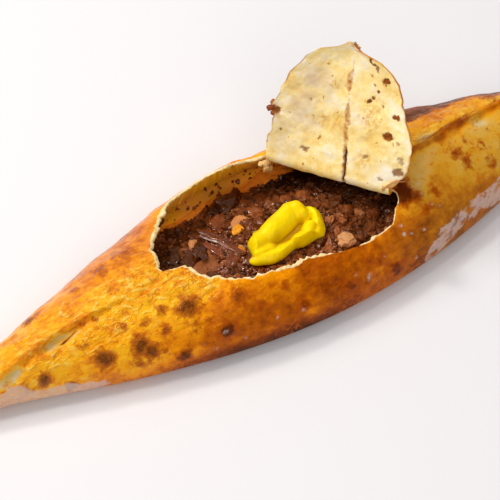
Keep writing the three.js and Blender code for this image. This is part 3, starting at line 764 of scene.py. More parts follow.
    # how dull and how glossy it is, and where flour lies; the valley beside the lid is dulled to grey-olive,
    # duller dough with the lid's shadow painted on it
    dull = 0.7 * right * (1 - 0.8 * behind) * (1 - 0.8 * np.maximum(lip, folded)) + 0.3 * under + 0.9 * valleyShade
    dull = np.clip(np.maximum(dull, 0.9 * np.maximum(slits, dent)) + 0.1 * far, 0, 0.95)
    gloss = 0.35 + 0.65 * smoothStep(-20, -90, x) + 0.6 * behind + 0.1 * body - 0.35 * right
    gloss = np.clip(gloss * (1 - 0.5 * smoothStep(-30, -48, y)) - 0.5 * slits + 0.3 * crinkle, 0, 1)
    flour = spread(points, [(onCrust(*place), radius, thick) for *place, radius, thick in flourDust])
    uneven = layeredNoise(points, 14, 3, 83)
    bandPlaces, bandLow, bandHigh = np.array(flourBand, dtype=float).T
    rightBand = (smoothStep(-1.2, 1.2, np.interp(x, bandPlaces, bandHigh) - above + 3.5 * uneven)
                 * smoothStep(-1.5, 1.5, above - np.interp(x, bandPlaces, bandLow) + 3 * uneven)
                 * smoothStep(52, 58, x) * smoothStep(-8, -16, y))
    rightBand = rightBand * np.clip(0.9 + 0.7 * layeredNoise(points, 6, 3, 85), 0, 1)
    leftBand = smoothStep(-140, -150, x) * smoothStep(-8, -12, y) * smoothStep(14.5, 12, above + 4 * uneven)
    lowFlour = 0.65 * smoothStep(9, 3, above) * np.clip(0.6 + layeredNoise(points, 25, 2, 81), 0, 1)
    flour = np.max([flour, rightBand, leftBand, lowFlour], axis=0)
    flour = np.maximum(flour * ~inner, 0.6 * under)
    crinkle = crinkle * (1 - np.maximum(slits, 0.8 * valleyShade))

    values = {"bake": bake, "dull": dull, "gloss": gloss, "blister": blister, "flour": flour,
              "crinkle": crinkle}
    values = {label: np.append(grid.ravel(), [grid[0].mean(), grid[-1].mean()])
              for label, grid in values.items()}
    poles = np.array([[0, 0, 0], [*windowMiddle, loaf["floor"]]], dtype=float)
    kindSlots = {"under": 0, "skin": 0, "torn": 1, "inner": 2}
    rowSlots = np.array([kindSlots[kind] for kind in kinds[1:]])
    slots = np.concatenate([np.repeat(rowSlots, spokes), np.zeros(spokes), np.full(spokes, 2)])
    ringPiece("crustShell", finished, poles, [bakedCrust, tornCrumb, innerCrust], "baked_crust", ["crust"],
              values, slots)


buildCrust()

# ---- the lid ----

lid = {
    "length": 79.0, "thickness": 2.8, "rise": 57.0, "sideCurl": 6.0, "tipCurl": 3.0,
    "bendRadius": 4.0, "root": 7.0, "rows": 190, "columns": 200,
}
foldStart = np.array([*foldBack, foldHeight(0) - loaf["thickness"] / 2])
foldEnd = np.array([*foldFront, foldHeight(1) - loaf["thickness"] / 2])
foldAxis = unit(foldEnd - foldStart)
awayFromWindow = unit(np.array([-foldAxis[1], foldAxis[0], 0]))
foldUp = np.cross(foldAxis, awayFromWindow)
foldMiddle = np.linalg.norm(foldEnd - foldStart) / 2 + 2.5
bendLength = lid["bendRadius"] * (math.pi - math.radians(lid["rise"]))
# the torn outline: mm up from the fold, then mm from the lid's middle line to its back or its front side
lidOutline = {
    "back": [(0, 43), (8, 44.3), (12, 43), (16, 40.7), (26, 40.7), (28.5, 43.4), (33, 43), (40, 39.5),
             (43.5, 39.3), (47, 37), (54, 34.2), (60, 29.8), (66, 25.4), (72, 18.2), (75.5, 8), (78, 3.8),
             (79, 1)],
    "front": [(0, 36), (3.5, 36.5), (7.5, 43.5), (13, 45.8), (20, 46.7), (29, 45.9), (37, 42.7), (42, 39.6),
              (51, 35.9), (57, 34.2), (62, 32.4), (67, 27.4), (72, 19.4), (74.6, 8), (77, 4), (79, 1)],
}
# scorched spots on the pale face: mm towards the front from the middle line, mm up from the fold, half size
# across and up in mm, strength
lidSpots = [
    (12.2, 71.6, 2.2, 1.1, 1.0), (14.8, 70.4, 1.6, 1.0, 0.9), (17.2, 68.2, 1.3, 2.2, 0.8),
    (23.8, 61.4, 1.9, 1.7, 1.0), (19.4, 53.8, 1.6, 1.2, 1.0), (16.6, 50.4, 1.2, 1.3, 1.0),
    (15.8, 47.4, 1.5, 1.2, 1.0), (23.8, 47.0, 0.8, 0.8, 0.9), (33.4, 42.6, 2.4, 1.5, 1.0),
    (30.6, 30.6, 3.6, 2.3, 1.0), (37.0, 27.8, 1.2, 1.6, 0.6), (39.4, 11.2, 3.4, 2.5, 0.85),
    (29.8, 3.0, 2.6, 1.0, 0.7), (18.6, 15.0, 1.4, 1.2, 0.7), (-19.8, 9.6, 3.0, 1.0, 0.8),
    (-11.8, 18.2, 0.8, 2.0, 0.8), (-35.8, 17.6, 1.4, 0.9, 0.8), (-39.6, 28.6, 3.2, 2.4, 0.95),
    (16.6, 57.4, 0.8, 0.7, 0.8), (-20.2, 39.0, 0.9, 0.8, 0.6), (40.6, 18.0, 1.4, 2.0, 0.6),
]
lidStains = [(-9.4, 52.6, 4, 4), (-16.2, 30.2, 3.4, 3.4), (-9.4, 31, 3, 4), (-2.6, 33, 2, 5),
             (-9.8, 27.0, 3, 3), (18, 38, 9, 14), (18, 12, 7, 7)]
# the crack up the middle: mm up, mm towards the front and half its width
lidCrack = [
    (-2, 7.8, 1.5), (8.6, 6.6, 1.5), (15.4, 5.7, 1.3), (18.2, 4.6, 1.0), (21, 4.2, 1.5), (26.2, 3.8, 1.6),
    (35.4, 3.4, 1.5), (42.2, 2.6, 0.7), (46, 2.2, 0.1), (49.4, 2.0, 0.1), (51.5, 1.7, 1.6), (56.6, 0.6, 1.9),
    (61, 1.5, 1.2), (64, 1.8, 0),
]


def lidSpread(across, travelled):
    # mm from the lid's middle line, more than 0 towards its front side, and mm up from the fold
    up = np.maximum(travelled - bendLength, 0)
    side = 2 * across - 1
    back, front = (np.interp(up, *np.array(lidOutline[name]).T) for name in ("back", "front"))
    half = np.where(side < 0, back, front)
    ragged = 0.8 * layeredNoise(plan(side * 40, travelled), 7, 4, 3)
    ragged = ragged * smoothStep(0, 5, up) * smoothStep(0, 20, half)
    return side * (half + side * side * ragged), up


def lidPoint(across, travelled, face):
    # The dough runs level in the crust, round a bend and straight up; its sides and tip curl towards the
    # window. face is 0 on the pale side and 1 on the baked side.
    facing = np.clip(travelled / lid["bendRadius"], 0, math.pi - math.radians(lid["rise"]))
    aside, straight = lidSpread(across, travelled)
    away = (-np.minimum(travelled, 0) - lid["bendRadius"] * np.sin(facing)
            + straight * math.cos(math.radians(lid["rise"])))
    up = lid["bendRadius"] * (1 - np.cos(facing)) + straight * math.sin(math.radians(lid["rise"]))
    share = np.minimum(straight / lid["length"], 1)
    side = 2 * across - 1
    curl = (lid["sideCurl"] * np.abs(side) ** 2.5 * smoothStep(0, 0.5, share)
            + lid["tipCurl"] * smoothStep(0.5, 1, share))
    sheet = plan(side * 40, travelled)
    wave = (0.9 * np.sin(side * 3.1 + share * 4) * np.sin(share * 6 + 1)
            + 0.8 * layeredNoise(sheet, 26, 2, 13)
            + 0.5 * layeredNoise(sheet, 9, 3, 15)) * smoothStep(0, 0.3, share)
    out = (face - 0.5) * lid["thickness"] * (1 - 0.45 * np.abs(side) ** 8) - curl + wave
    return (foldStart + foldAxis * (foldMiddle + aside)[..., None]
            + awayFromWindow * (away + out * np.sin(facing))[..., None]
            + foldUp * (up + out * np.cos(facing))[..., None])


def lidMarks(across, travelled):
    # scorched spots, yellow stains, the crack up the middle and the open slit at its foot, coloured dark as
    # the shade inside it
    aside = lidSpread(across, travelled)[0]
    up = travelled - bendLength
    warp = plan(aside, up)
    shiftAside, shiftUp = layeredNoise(warp, 3.0, 3, 91), layeredNoise(warp, 3.0, 3, 95)
    scorch = np.zeros_like(aside)
    for place, height, halfAcross, halfUp, strength in lidSpots:
        apart = np.hypot((aside - place + 1.3 * shiftAside) / halfAcross,
                         (up - height + 1.3 * shiftUp) / halfUp)
        scorch = np.maximum(scorch, strength * smoothStep(1.25, 0.75, apart))
    stain = np.zeros_like(aside)
    for place, height, halfAcross, halfUp in lidStains:
        apart = np.hypot((aside - place + 3 * shiftAside) / halfAcross, (up - height) / halfUp)
        stain = np.maximum(stain, bump(apart, 1.0))
    heights, places, halves = np.array(lidCrack).T
    fromCrack = np.abs(aside - np.interp(up, heights, places) + 0.5 * shiftAside)
    half = np.interp(up, heights, halves) * (1 + 0.5 * shiftUp)
    crack = smoothStep(1.25, 0.7, fromCrack / np.maximum(half, 0.05))
    # painted shade: the slit is coloured near-black
    slit = smoothStep(1.3, 0.6, fromCrack / 0.6) * smoothStep(18, 15, up)
    return scorch, stain, crack, slit


def lidMaterial():
    # the lid's inner face: steamed pale dough, dry, clouded white and yellow, with fat stains and scorched
    # specks; painted shade greys a band down its curled back side and darkens its open slit
    pale = newMaterial("paleLidCrumb")
    place = addNode(pale, "TexCoord").outputs["Object"]
    scorch, stain, crack, gap, edge, grey = attributes(
        pale, "scorch", "stain", "crack", "gap", "edge", "grey")
    grain = noiseOf(pale, place, 2.6, 5.0, 0.68)
    clouded = scaleAdd(pale, grain, 0.5, noiseOf(pale, place, 15.0, 6.0, 0.62))
    speck = ranged(pale, noiseOf(pale, place, 3.4, 1.5), 0.7, 0.75, 0.75, curve="LINEAR")
    stained = calc(pale, "MULTIPLY", stain, ranged(pale, grain, 0.4, 0.62, 0.9))
    smeared = calc(pale, "MULTIPLY", crack, ranged(pale, grain, 0.32, 0.6, 0.35, 1.0, "LINEAR"))
    burn = ramp(pale, grain, [(0.35, "#521f04"), (0.65, "#a3560f")])
    colour = ramp(pale, clouded, [(0.52, "#efbf6c"), (0.62, "#fcda86"), (0.75, "#ffe9a6"), (0.92, "#fff5de")])
    for share, layer in ((grey, "#d9bb92"), (stained, "#dfa628"), (speck, "#b57a22"), (edge, "#b06a1c"),
                         (smeared, "#b4601a"), (scorch, burn), (gap, "#4a1c06")):
        colour = blend(pale, share, colour, layer)
    sockets = {"Base Color": colour, "Roughness": 0.66, "IOR": 1.4, "Specular Tint": "#ffe0b0"}
    return finishMaterial(pale, sockets, clouded, 0.7, 0.9)


def buildLid():
    # A closed sheet: each ring goes across the pale face and back across the baked face.
    even = np.linspace(0, 1, lid["columns"])
    places = mix(even, (1 - np.cos(math.pi * even)) / 2, 0.5)
    up = lid["length"] * np.sin(np.linspace(0, 1, lid["rows"] + 1)[:-1] * math.pi / 2)
    way = np.concatenate([[-lid["root"], -2, 0], np.linspace(0, bendLength, 14)[1:-1], bendLength + up])
    across, travelled = np.meshgrid(places, way)
    zero = np.zeros_like(across)
    paleFace, bakedFace = lidPoint(across, travelled, zero), lidPoint(across, travelled, zero + 1)
    scorch, stain, crack, gap = lidMarks(across, travelled)
    flat = plan(lidSpread(across, travelled)[0], travelled)
    sink = 1.3 * gap + 0.35 * crack + 0.3 * scorch + 0.25 * layeredNoise(flat, 7, 4, 33)
    outwards = unit(bakedFace - paleFace)
    paleFace = paleFace + outwards * sink[..., None]
    bakedFace = bakedFace + outwards * (0.35 * layeredNoise(flat, 12, 4, 43))[..., None]
    upwards = travelled - bendLength
    edge = smoothStep(0.968, 1.0, np.abs(2 * across - 1))
    edge = edge * np.clip(0.65 + 0.7 * layeredNoise(flat, 9, 2, 57), 0, 1) * smoothStep(2, 12, upwards)
    edge = np.maximum(edge, bump(upwards - 29, 4) * smoothStep(0.07, 0.02, across))
    # painted shade: a greyer band down the curled back side
    grey = (0.75 * bump(across - 0.22, 0.16) * bump(upwards - 42, 20)
            + 0.5 * bump(across - 0.12, 0.12) * bump(upwards - 10, 10))
    grey = np.clip(grey * (1 + 0.8 * layeredNoise(flat, 10, 3, 59)), 0, 0.85)

    grid = np.concatenate([paleFace, bakedFace[:, ::-1]], axis=1)
    poles = np.stack([lidPoint(np.array(0.5), np.array(end), np.array(0.5))
                      for end in (-lid["root"], bendLength + lid["length"])])
    rowCount, around = grid.shape[:2]
    bakedSide = np.arange(around) >= lid["columns"] - 1
    slots = np.concatenate([np.tile(bakedSide, rowCount - 1), np.zeros(2 * around)])
    paleMarks = {"scorch": scorch, "stain": stain, "crack": crack, "gap": gap, "edge": edge, "grey": grey,
                 "bake": zero + 0.4}
    bakedMarks = {"bake": 0.5 + 0.25 * layeredNoise(flat, 18, 2, 53), "dull": zero + 0.1, "gloss": zero + 0.5,
                  "blister": zero + 0.1}
    values = {}
    for label in (*paleMarks, "dull", "gloss", "blister", "flour"):
        faces = [paleMarks.get(label, zero), bakedMarks.get(label, zero)[:, ::-1]]
        values[label] = np.append(np.concatenate(faces, axis=1).ravel(), [0.4, 0.4])
    ringPiece("liftedLid", grid, poles, [lidMaterial(), bakedCrust], "baked_crust", ["crust"], values, slots)


buildLid()

# ---- the chopped meat ----

meat = {
    "height": 25.0, "backHeight": 10.0, "gap": 1.2, "restGap": 0.3, "spokes": 600, "windowRows": 124,
    "hiddenRows": 20, "chunks": 900, "grains": 2400, "wallCrumbs": 84, "seed": 11,
    "crumbDepth": 1.7,  # how far the crumbly relief starts under the heap's height
    "bedding": 1.2,  # how far the loose pieces sink into the heap
}
# the level seat under the butter, and the turned ellipse round it that the loose pieces keep clear of
butter = {
    "x": -14.0, "y": -5.0, "halfLength": 33.0, "halfWidth": 18.0, "seat": 25.0, "skirt": 1.6, "floor": 4.0,
    "clearLength": 28.0, "clearWidth": 14.5, "heading": 14.0,
}


def meatHeight(x, y):
    # a heap that falls towards the back wall, lumpy, and level under the butter
    away = np.hypot((x - butter["x"]) / butter["halfLength"], (y - butter["y"]) / butter["halfWidth"])
    slope = mix(meat["height"], meat["backHeight"], smoothStep(8, 46, y))
    lumpy = 1.5 * np.sin(x / 7 + 1.2 * np.sin(y / 9)) + 1.2 * np.sin(y / 6 - x / 13)
    return mix(slope + lumpy, butter["seat"], smoothStep(1.5, 1.1, away))


def restHeight(x):
    # of the meat's underside over the dough's floor
    return floorAt(x) + meat["restGap"]


def meatTop(x, y):
    return np.maximum(restHeight(x) + 1, np.minimum(meatHeight(x, y), ceilingAt(x, y) - meat["gap"]))


def meatMaterial():
    # minced meat fried in its own fat: dark to mid brown and wet, with bits of lighter meat and glazed fat
    fried = newMaterial("friedChoppedMeat")
    place = addNode(fried, "TexCoord").outputs["Object"]
    # the tone attribute carries painted shade besides the meat's own lighter and darker bits
    tone, wet, buttery = attributes(fried, "tone", "wet", "buttery")
    cloud = noiseOf(fried, place, 7.0, 5.0, 0.65)
    fibre = noiseOf(fried, place, 1.3, 4.0, 0.7)
    uneven = calc(fried, "ADD", scaleAdd(fried, cloud, 0.4, -0.2), scaleAdd(fried, fibre, 0.45, -0.225))
    total = calc(fried, "ADD", uneven, tone, clamp=True)
    colour = ramp(fried, total, [(0.0, "#1f0b03"), (0.28, "#4a2009"), (0.5, "#7a3f1b"), (0.72, "#a2623a"),
                                 (1.0, "#d39c6a")])
    rough = scaleAdd(fried, wet, -0.3, ranged(fried, fibre, 0.35, 0.65, 0.62, 0.3, "LINEAR"), clamp=True)
    sockets = {"Base Color": blend(fried, buttery, colour, "#f2bc08"), "Roughness": rough, "IOR": 1.45,
               "Coat Weight": wet, "Coat Roughness": 0.12, "Coat Tint": "#ffd9a0", "Specular Tint": "#ffc890"}
    return finishMaterial(fried, sockets, fibre, 0.8, 0.7)


friedMeat = meatMaterial()


def meatToneAndShade(x, y):
    # how light the meat is, with painted shade: darkest under the lid and at the left-hand end, lightest at
    # the middle
    tone = 0.46 - 0.16 * smoothStep(-66, -80, x) - 0.34 * smoothStep(-12, 12, (x - 28) * 0.7 + (y - 8) * 0.6)
    return tone + 0.07 * layeredNoise(plan(x, y), 16, 2, 141)


def meatWet(x, y):
    # fat has run from the butter to the left and round it
    wet = 0.8 * bump(np.hypot(x + 50, (y - 8) * 0.8), 22) + 0.6 * bump(np.hypot(x + 12, y + 8), 26)
    return np.clip(wet + 0.15 + 0.3 * layeredNoise(plan(x, y), 9, 3, 151), 0.04, 0.9)


def soakedWidth(x):
    # how wide the fat-soaked dough is at the foot of the back wall
    return 4.2 + 6 * bump(x - 10, 24)


def crumbliness(x, y):
    # chopped pieces packed side by side: each cell is a small dome with its own height and tone, painted
    # darker towards its edge as shade between the pieces
    coarse, coarseNumber = cellNoise(x + 1.5 * latticeNoise(plan(x, y), 6, 161), y, 5.2, 3)
    fine, fineNumber = cellNoise(x, y + 0.6 * latticeNoise(plan(x, y), 3, 163), 2.3, 4)
    smear = bump(np.hypot(x + 50, (y - 8) * 0.8), 20)
    height = 1.9 * coarseNumber - 1.3 * coarse ** 2 + (1.1 * fineNumber - 0.9 * fine ** 2) * (1 - 0.7 * smear)
    tone = 0.16 * (coarseNumber - 0.5) + 0.16 * (fineNumber - 0.5) - 0.1 * coarse ** 2 - 0.12 * fine ** 2
    return height, tone


def buildMeatCore():
    # Rings along the same lines as the crust: under, out to the hollow's wall, back under the ceiling and in
    # over the window to its middle.
    edge, _, rim = spokeSet(meat["spokes"])
    end = hollowEnd(rim, edge, meat["gap"])
    rows = [plan(*place.T, restHeight(place[:, 0])) for place in (mix(windowMiddle, end, 0.5), end)]
    for row in range(meat["hiddenRows"], 0, -1):
        share = row / meat["hiddenRows"]
        place = mix(rim, end, 1 - (1 - share) ** 2).T
        top = meatTop(*place) if share < 1 else restHeight(place[0]) + 1
        crumbly = crumbliness(*place)[0] - meat["crumbDepth"]
        rows.append(plan(*place, top + 0.6 * crumbly * smoothStep(1, 0.6, share)))
    for share in np.linspace(1, 0, meat["windowRows"] + 1)[:-1]:
        place = mix(windowMiddle, rim, share).T
        crumbly = crumbliness(*place)[0] + 0.5 * layeredNoise(plan(*place), 1.6, 2, 111)
        rows.append(plan(*place, meatTop(*place) - meat["crumbDepth"] + crumbly))
    grid = np.array(rows)
    x, y = grid[..., 0], grid[..., 1]
    tone = meatToneAndShade(x, y) + crumbliness(x, y)[1]
    values = {"tone": np.append(tone.ravel(), [0.3, 0.3]),
              "wet": np.append(meatWet(x, y).ravel(), [0.3, 0.3]),
              "bake": np.full(x.size + 2, 0.8)}
    soaked = backWallAt(x) - y + latticeNoise(grid, 3, 117) < soakedWidth(x)
    slots = np.concatenate([soaked[1:].ravel(), np.zeros(2 * meat["spokes"])])
    poles = np.array([[*windowMiddle, loaf["floor"] + meat["restGap"]], grid[-1].mean(axis=0)])
    ringPiece("meatHeap", grid, poles, [friedMeat, innerCrust], "chopped_meat", ["filling"], values, slots)


def ballPattern(rows, columns):
    # points of a unit ball on rings between two poles, and its faces
    polar = (math.pi * (np.arange(rows) + 1) / (rows + 1))[:, None]
    turn = 2 * math.pi * np.arange(columns) / columns
    rings = plan(np.sin(polar) * np.cos(turn), np.sin(polar) * np.sin(turn), -np.cos(polar))
    points = np.vstack([rings.reshape(-1, 3), [[0, 0, -1], [0, 0, 1]]])
    return points, gridFaces(rows, columns), poleFaces(rows, columns)


def turned(angle, axis):
    # turns round one axis, by one angle or by an array of them
    first, second = (axis + 1) % 3, (axis + 2) % 3
    matrix = np.zeros(np.shape(angle) + (3, 3))
    matrix[..., axis, axis] = 1
    matrix[..., first, first] = matrix[..., second, second] = np.cos(angle)
    matrix[..., first, second], matrix[..., second, first] = -np.sin(angle), np.sin(angle)
    return matrix


def turnings(chance, count, tilt):
    # random turns: any direction seen from above, then tilted by up to so many radians about x and y
    spin = turned(chance.uniform(0, 2 * math.pi, count), 2)
    roll, pitch = (turned(chance.uniform(-tilt, tilt, count), axis) for axis in (0, 1))
    return roll @ pitch @ spin


def turnFromAngles(heading, along, across):
    # turned round z, after tilts along and across, all in degrees
    heading, along, across = (math.radians(angle) for angle in (heading, along, across))
    return turned(heading, 2) @ turned(along, 1) @ turned(across, 0)


def scatter(name, pattern, centres, sizes, turns, lumpiness, boxiness, look, seed, values):
    # One mesh of many uneven lumps: the ball is made boxier, pushed in and out by noise, stretched, turned,
    # placed.
    points, quads, triangles = pattern
    material, slotName, replaced = look
    boxy = np.sign(points) * np.abs(points) ** boxiness
    offsets = np.arange(len(centres))[:, None, None] * 7.31
    uneven = 1 + lumpiness * layeredNoise(points + offsets, 0.9, 3, seed)
    local = boxy * uneven[..., None] * sizes[:, None, :]
    placed = np.einsum("nij,nvj->nvi", turns, local) + centres[:, None, :]
    shifts = (np.arange(len(centres)) * len(points))[:, None, None]
    faces = [(quads + shifts).reshape(-1, 4), (triangles + shifts).reshape(-1, 3)]
    perPoint = {label: np.repeat(numbers, len(points)) for label, numbers in values.items()}
    meshPiece(name, placed.reshape(-1, 3), faces, [material], slotName, replaced, perPoint, smooth=False)


def windowPlaces(chance, count, reach, clearance, fromWall):
    # random places under the window, out to a reach beyond its rim, clear of the butter and inside the hollow
    angle = chance.uniform(-math.pi, math.pi, count * 4)
    out = rimPoint(angle, -reach) - windowMiddle
    out = windowMiddle + out * np.sqrt(chance.uniform(0, 1, count * 4))[:, None]
    x, y = out.T
    heading = math.radians(butter["heading"])
    fromX, fromY = x - butter["x"], y - butter["y"]
    along = (fromX * math.cos(heading) + fromY * math.sin(heading)) / (butter["clearLength"] + clearance)
    across = (fromY * math.cos(heading) - fromX * math.sin(heading)) / (butter["clearWidth"] + clearance)
    room = ceilingAt(x, y) - meatHeight(x, y)
    keep = (hollowShare(x, y, fromWall) > 0) & (np.hypot(along, across) > 1) & (room > 4)
    keep = keep & (backWallAt(x) - y > soakedWidth(x) - 1.5)
    return out[keep][:count].T


# the larger pieces: place from above, half length, half width, half thickness, heading, tilts along and
# across in degrees, how light, how wet, how far above the heap and how much melted butter has stained it
meatLumps = [
    (-20.5, 43, 9, 6, 3.2, 12, 8, 38, 0.2, 0.75, 3.2, 0),
    (-31, 43, 4.5, 4, 2.2, 40, -8, 25, 0.2, 0.7, 1.6, 0),
    (-60, 2, 11, 6.5, 2.2, 22, 4, 10, 0.62, 0.35, 0.6, 0),
    (-58, 13, 9, 4.5, 1.6, 55, 18, 22, 0.22, 0.8, 1.4, 0), (-67, 10, 7, 4, 1.6, 30, 10, 12, 0.3, 0.5, 0.5, 0),
    (-60, 20, 6, 2.2, 1.4, 62, 5, 15, 0.98, 0.5, 1.4, 0), (-27, 19, 7, 5, 2.6, 30, 8, 8, 0.95, 0.6, 1.6, 0),
    (-32.5, 13.5, 3.8, 2.6, 1.6, 10, 4, 6, 0.9, 0.9, 1.6, 0.9),
    (-47, 17, 12, 3.0, 1.5, 118, 6, 14, 0.36, 0.95, 0.9, 0),
    (-43, 5, 10, 2.8, 1.4, 112, 4, 8, 0.42, 0.95, 0.8, 0),
    (-52, 10, 8, 2.2, 1.2, 100, 4, 8, 0.5, 0.95, 1.0, 0), (-48, -4, 6, 4, 1.6, 30, 6, 4, 0.4, 0.9, 0.8, 0),
    (-38, -9, 5, 3.5, 1.6, 160, 6, 4, 0.36, 0.9, 0.6, 0), (-36, 30, 6, 4, 1.8, 20, 6, 10, 0.5, 0.5, 1.0, 0),
    (-39, 0, 3.4, 2.2, 1.0, 60, 6, 4, 0.7, 0.95, 1.0, 0.5),
    (15, -28, 5.8, 4.8, 2.8, 20, 8, 6, 1.2, 0.15, 2.0, 0),
    (13, 16, 4.5, 3.5, 2.2, 50, 8, 8, 0.62, 0.35, 1.4, 0), (4, 21, 4, 3, 2.0, 80, 5, 5, 0.6, 0.3, 1.2, 0),
    (41, -17, 4.5, 4, 2.6, 10, 10, 8, 0.42, 0.3, 1.4, 0), (17, -8, 3.5, 2.5, 1.8, 35, 5, 5, 0.8, 0.5, 1.2, 0),
    (-3, 38, 5, 4, 2.0, 15, 5, 10, 0.4, 0.4, 1.0, 0), (30, -8, 4, 3.4, 2.2, 60, 5, 5, 0.5, 0.3, 1.3, 0),
    (-12, 28, 4.5, 3.4, 2.0, 120, 6, 5, 0.55, 0.4, 1.0, 0),
    (-14, 38, 4, 3, 1.8, 10, 6, 10, 0.45, 0.4, 1.0, 0), (33, -27, 4, 3, 2.0, 40, 5, 5, 0.55, 0.3, 1.0, 0),
    # the low tones of the pieces at the left-hand end are partly painted shade from the rim
    (-76, 14, 4.5, 3.5, 2.0, 40, 5, 5, 0.2, 0.2, 1.0, 0), (-80, 4, 4, 3, 1.8, 90, 5, 5, 0.18, 0.2, 1.0, 0),
    (-70, 24, 4, 3, 1.8, 10, 5, 5, 0.22, 0.2, 1.0, 0), (-64, -9, 4, 3, 1.6, 60, 5, 5, 0.3, 0.3, 0.8, 0),
    (-50, 34, 5, 3.4, 1.8, 20, 6, 10, 0.3, 0.4, 0.8, 0),
]
friedLook = (friedMeat, "chopped_meat", ["filling"])


def buildMeatLumps():
    x, y, *sizes, heading, along, across, tone, wet, lift, buttery = np.array(meatLumps, dtype=float).T
    centres = plan(x, y, meatTop(x, y) - meat["bedding"] + lift)
    turns = np.array([turnFromAngles(*angles) for angles in zip(heading, along, across)])
    scatter("meatLumps", ballPattern(22, 32), centres, np.stack(sizes, axis=-1), turns, 0.34, 0.72,
            friedLook, 7, {"tone": tone, "wet": wet, "buttery": buttery})


def buildChunks(chance):
    x, y = windowPlaces(chance, meat["chunks"], 12, 2, 4)
    count = len(x)
    small = np.clip(smoothStep(-60, -72, x) + bump(np.hypot(x + 48, (y - 8) * 0.8), 20), 0, 1)
    size = mix(1.1, 3.3, chance.uniform(0, 1, count) ** 2.4) * (1 - 0.4 * small)
    sizes = size[:, None] * chance.uniform([0.9, 0.7, 0.5], [1.5, 1.1, 0.9], (count, 3))
    centres = plan(x, y, meatTop(x, y) - meat["bedding"] + chance.uniform(-0.3, 0.7, count) * size)
    tones = np.clip(meatToneAndShade(x, y) + 0.13 * chance.standard_normal(count), 0.02, 0.8)
    scatter("choppedMeat", ballPattern(6, 9), centres, sizes, turnings(chance, count, 0.7), 0.55, 0.75,
            friedLook, 3, {"tone": tones, "wet": meatWet(x, y)})


def buildMince(chance):
    x, y = windowPlaces(chance, meat["grains"], 14, 0, 1.5)
    count = len(x)
    size = chance.uniform(0.35, 1.0, count)
    sizes = size[:, None] * chance.uniform(0.7, 1.3, (count, 3))
    centres = plan(x, y, meatTop(x, y) - meat["bedding"] + chance.uniform(-0.4, 1.6, count))
    tones = np.clip(meatToneAndShade(x, y) + 0.05 + 0.2 * chance.standard_normal(count), 0.02, 0.9)
    scatter("minceCrumbs", ballPattern(3, 6), centres, sizes, turnings(chance, count, 3), 0.4, 0.8,
            friedLook, 5, {"tone": tones, "wet": meatWet(x, y)})


def buildWallCrumbs(chance):
    # crumbs of meat that stick to the inside of the dough over the back of the heap
    count = meat["wallCrumbs"]
    angle = chance.uniform(math.radians(40), math.radians(172), count)
    rim = rimPoint(angle, 0)
    wall = hollowEnd(rim, rim + 60 * unit(rim - windowMiddle), 0)
    share = chance.uniform(0.0, 1, count)
    low = meatTop(*mix(rim, wall, (0.15 + 0.75 * share)[:, None]).T)
    height = mix(low, crustTop(*rim.T) - 6, chance.uniform(0, 1, count) ** 1.8)
    # the wall under the rim is steep, so each crumb slides outwards along its line until it meets the dough
    here = farthest(rim, wall, lambda x, y: ceilingAt(x, y) > height, 24)
    size = mix(0.4, 2.1, chance.uniform(0, 1, count) ** 2.2)
    sizes = size[:, None] * chance.uniform([0.8, 0.6, 0.4], [1.5, 1.0, 0.7], (count, 3))
    tones = np.clip(0.5 + 0.12 * chance.standard_normal(count), 0.25, 0.8)
    scatter("wallCrumbs", ballPattern(4, 7), plan(*here.T, height), sizes, turnings(chance, count, 3),
            0.4, 0.8, friedLook, 9, {"tone": tones, "wet": tones})


buildMeatCore()
buildMeatLumps()
meatChance = np.random.default_rng(meat["seed"])
buildChunks(meatChance)
buildMince(meatChance)
buildWallCrumbs(meatChance)

# ---- scraps of torn dough ----

# on the rim by the lid's back corner, on its left edge, at its tip and at its front corner: place, half
# sizes, turns in degrees and how brown it is
rimScraps = [
    ((5, 43, 35), (2.6, 2.0, 1.8), (20, 10, 0), 0.42), ((3.5, 40.5, 32.5), (1.6, 1.8, 2.4), (70, 0, 20), 0.5),
    ((6.5, 41, 31), (1.5, 1.3, 1.9), (10, 0, 0), 0.5), ((1.5, 43.5, 35.5), (1.8, 1.3, 1.1), (40, 0, 0), 0.42),
]
lidScraps = [
    ((-43.0, 29.5), (2.6, 2.2, 0.9), 20, 0.95), ((-42.4, 33.0), (1.6, 1.6, 0.8), 60, 0.85),
    ((-41.6, 26.3), (1.6, 1.2, 0.8), 10, 0.9), ((-2.4, 77.3), (4.6, 1.3, 1.1), -8, 0.2),
    ((3.0, 78.2), (2.6, 1.2, 1.0), 12, 0.3), ((9.6, 76.6), (0.9, 3.0, 0.8), -28, 0.3),
    ((11.8, 80.6), (1.2, 1.6, 1.2), 0, 0.55), ((12.4, 73.4), (2.0, 1.1, 0.8), 30, 0.75),
    ((36.5, 1.5), (5.5, 1.6, 1.2), 48, 0.6), ((40.5, 5.2), (3.2, 1.4, 1.0), 55, 0.85),
    ((9.0, -4.5), (2.6, 0.8, 0.6), 25, 0.2), ((33.0, 0.5), (2.0, 1.2, 1.0), 20, 0.35),
]


def scrapMaterial():
    # ragged bits of dough, from pale crumb to baked brown
    scrap = newMaterial("tornDoughScraps")
    place = addNode(scrap, "TexCoord").outputs["Object"]
    tone, = attributes(scrap, "tone")
    total = scaleAdd(scrap, noiseOf(scrap, place, 1.8, 4.0), 0.5, tone)
    shifted = calc(scrap, "SUBTRACT", total, 0.25, clamp=True)
    colour = ramp(scrap, shifted, [(0.0, "#f6e3b8"), (0.4, "#e6bd7c"), (0.7, "#c07a30"), (1.0, "#7a3208")])
    return finishMaterial(scrap, {"Base Color": colour, "Roughness": 0.7, "IOR": 1.4})


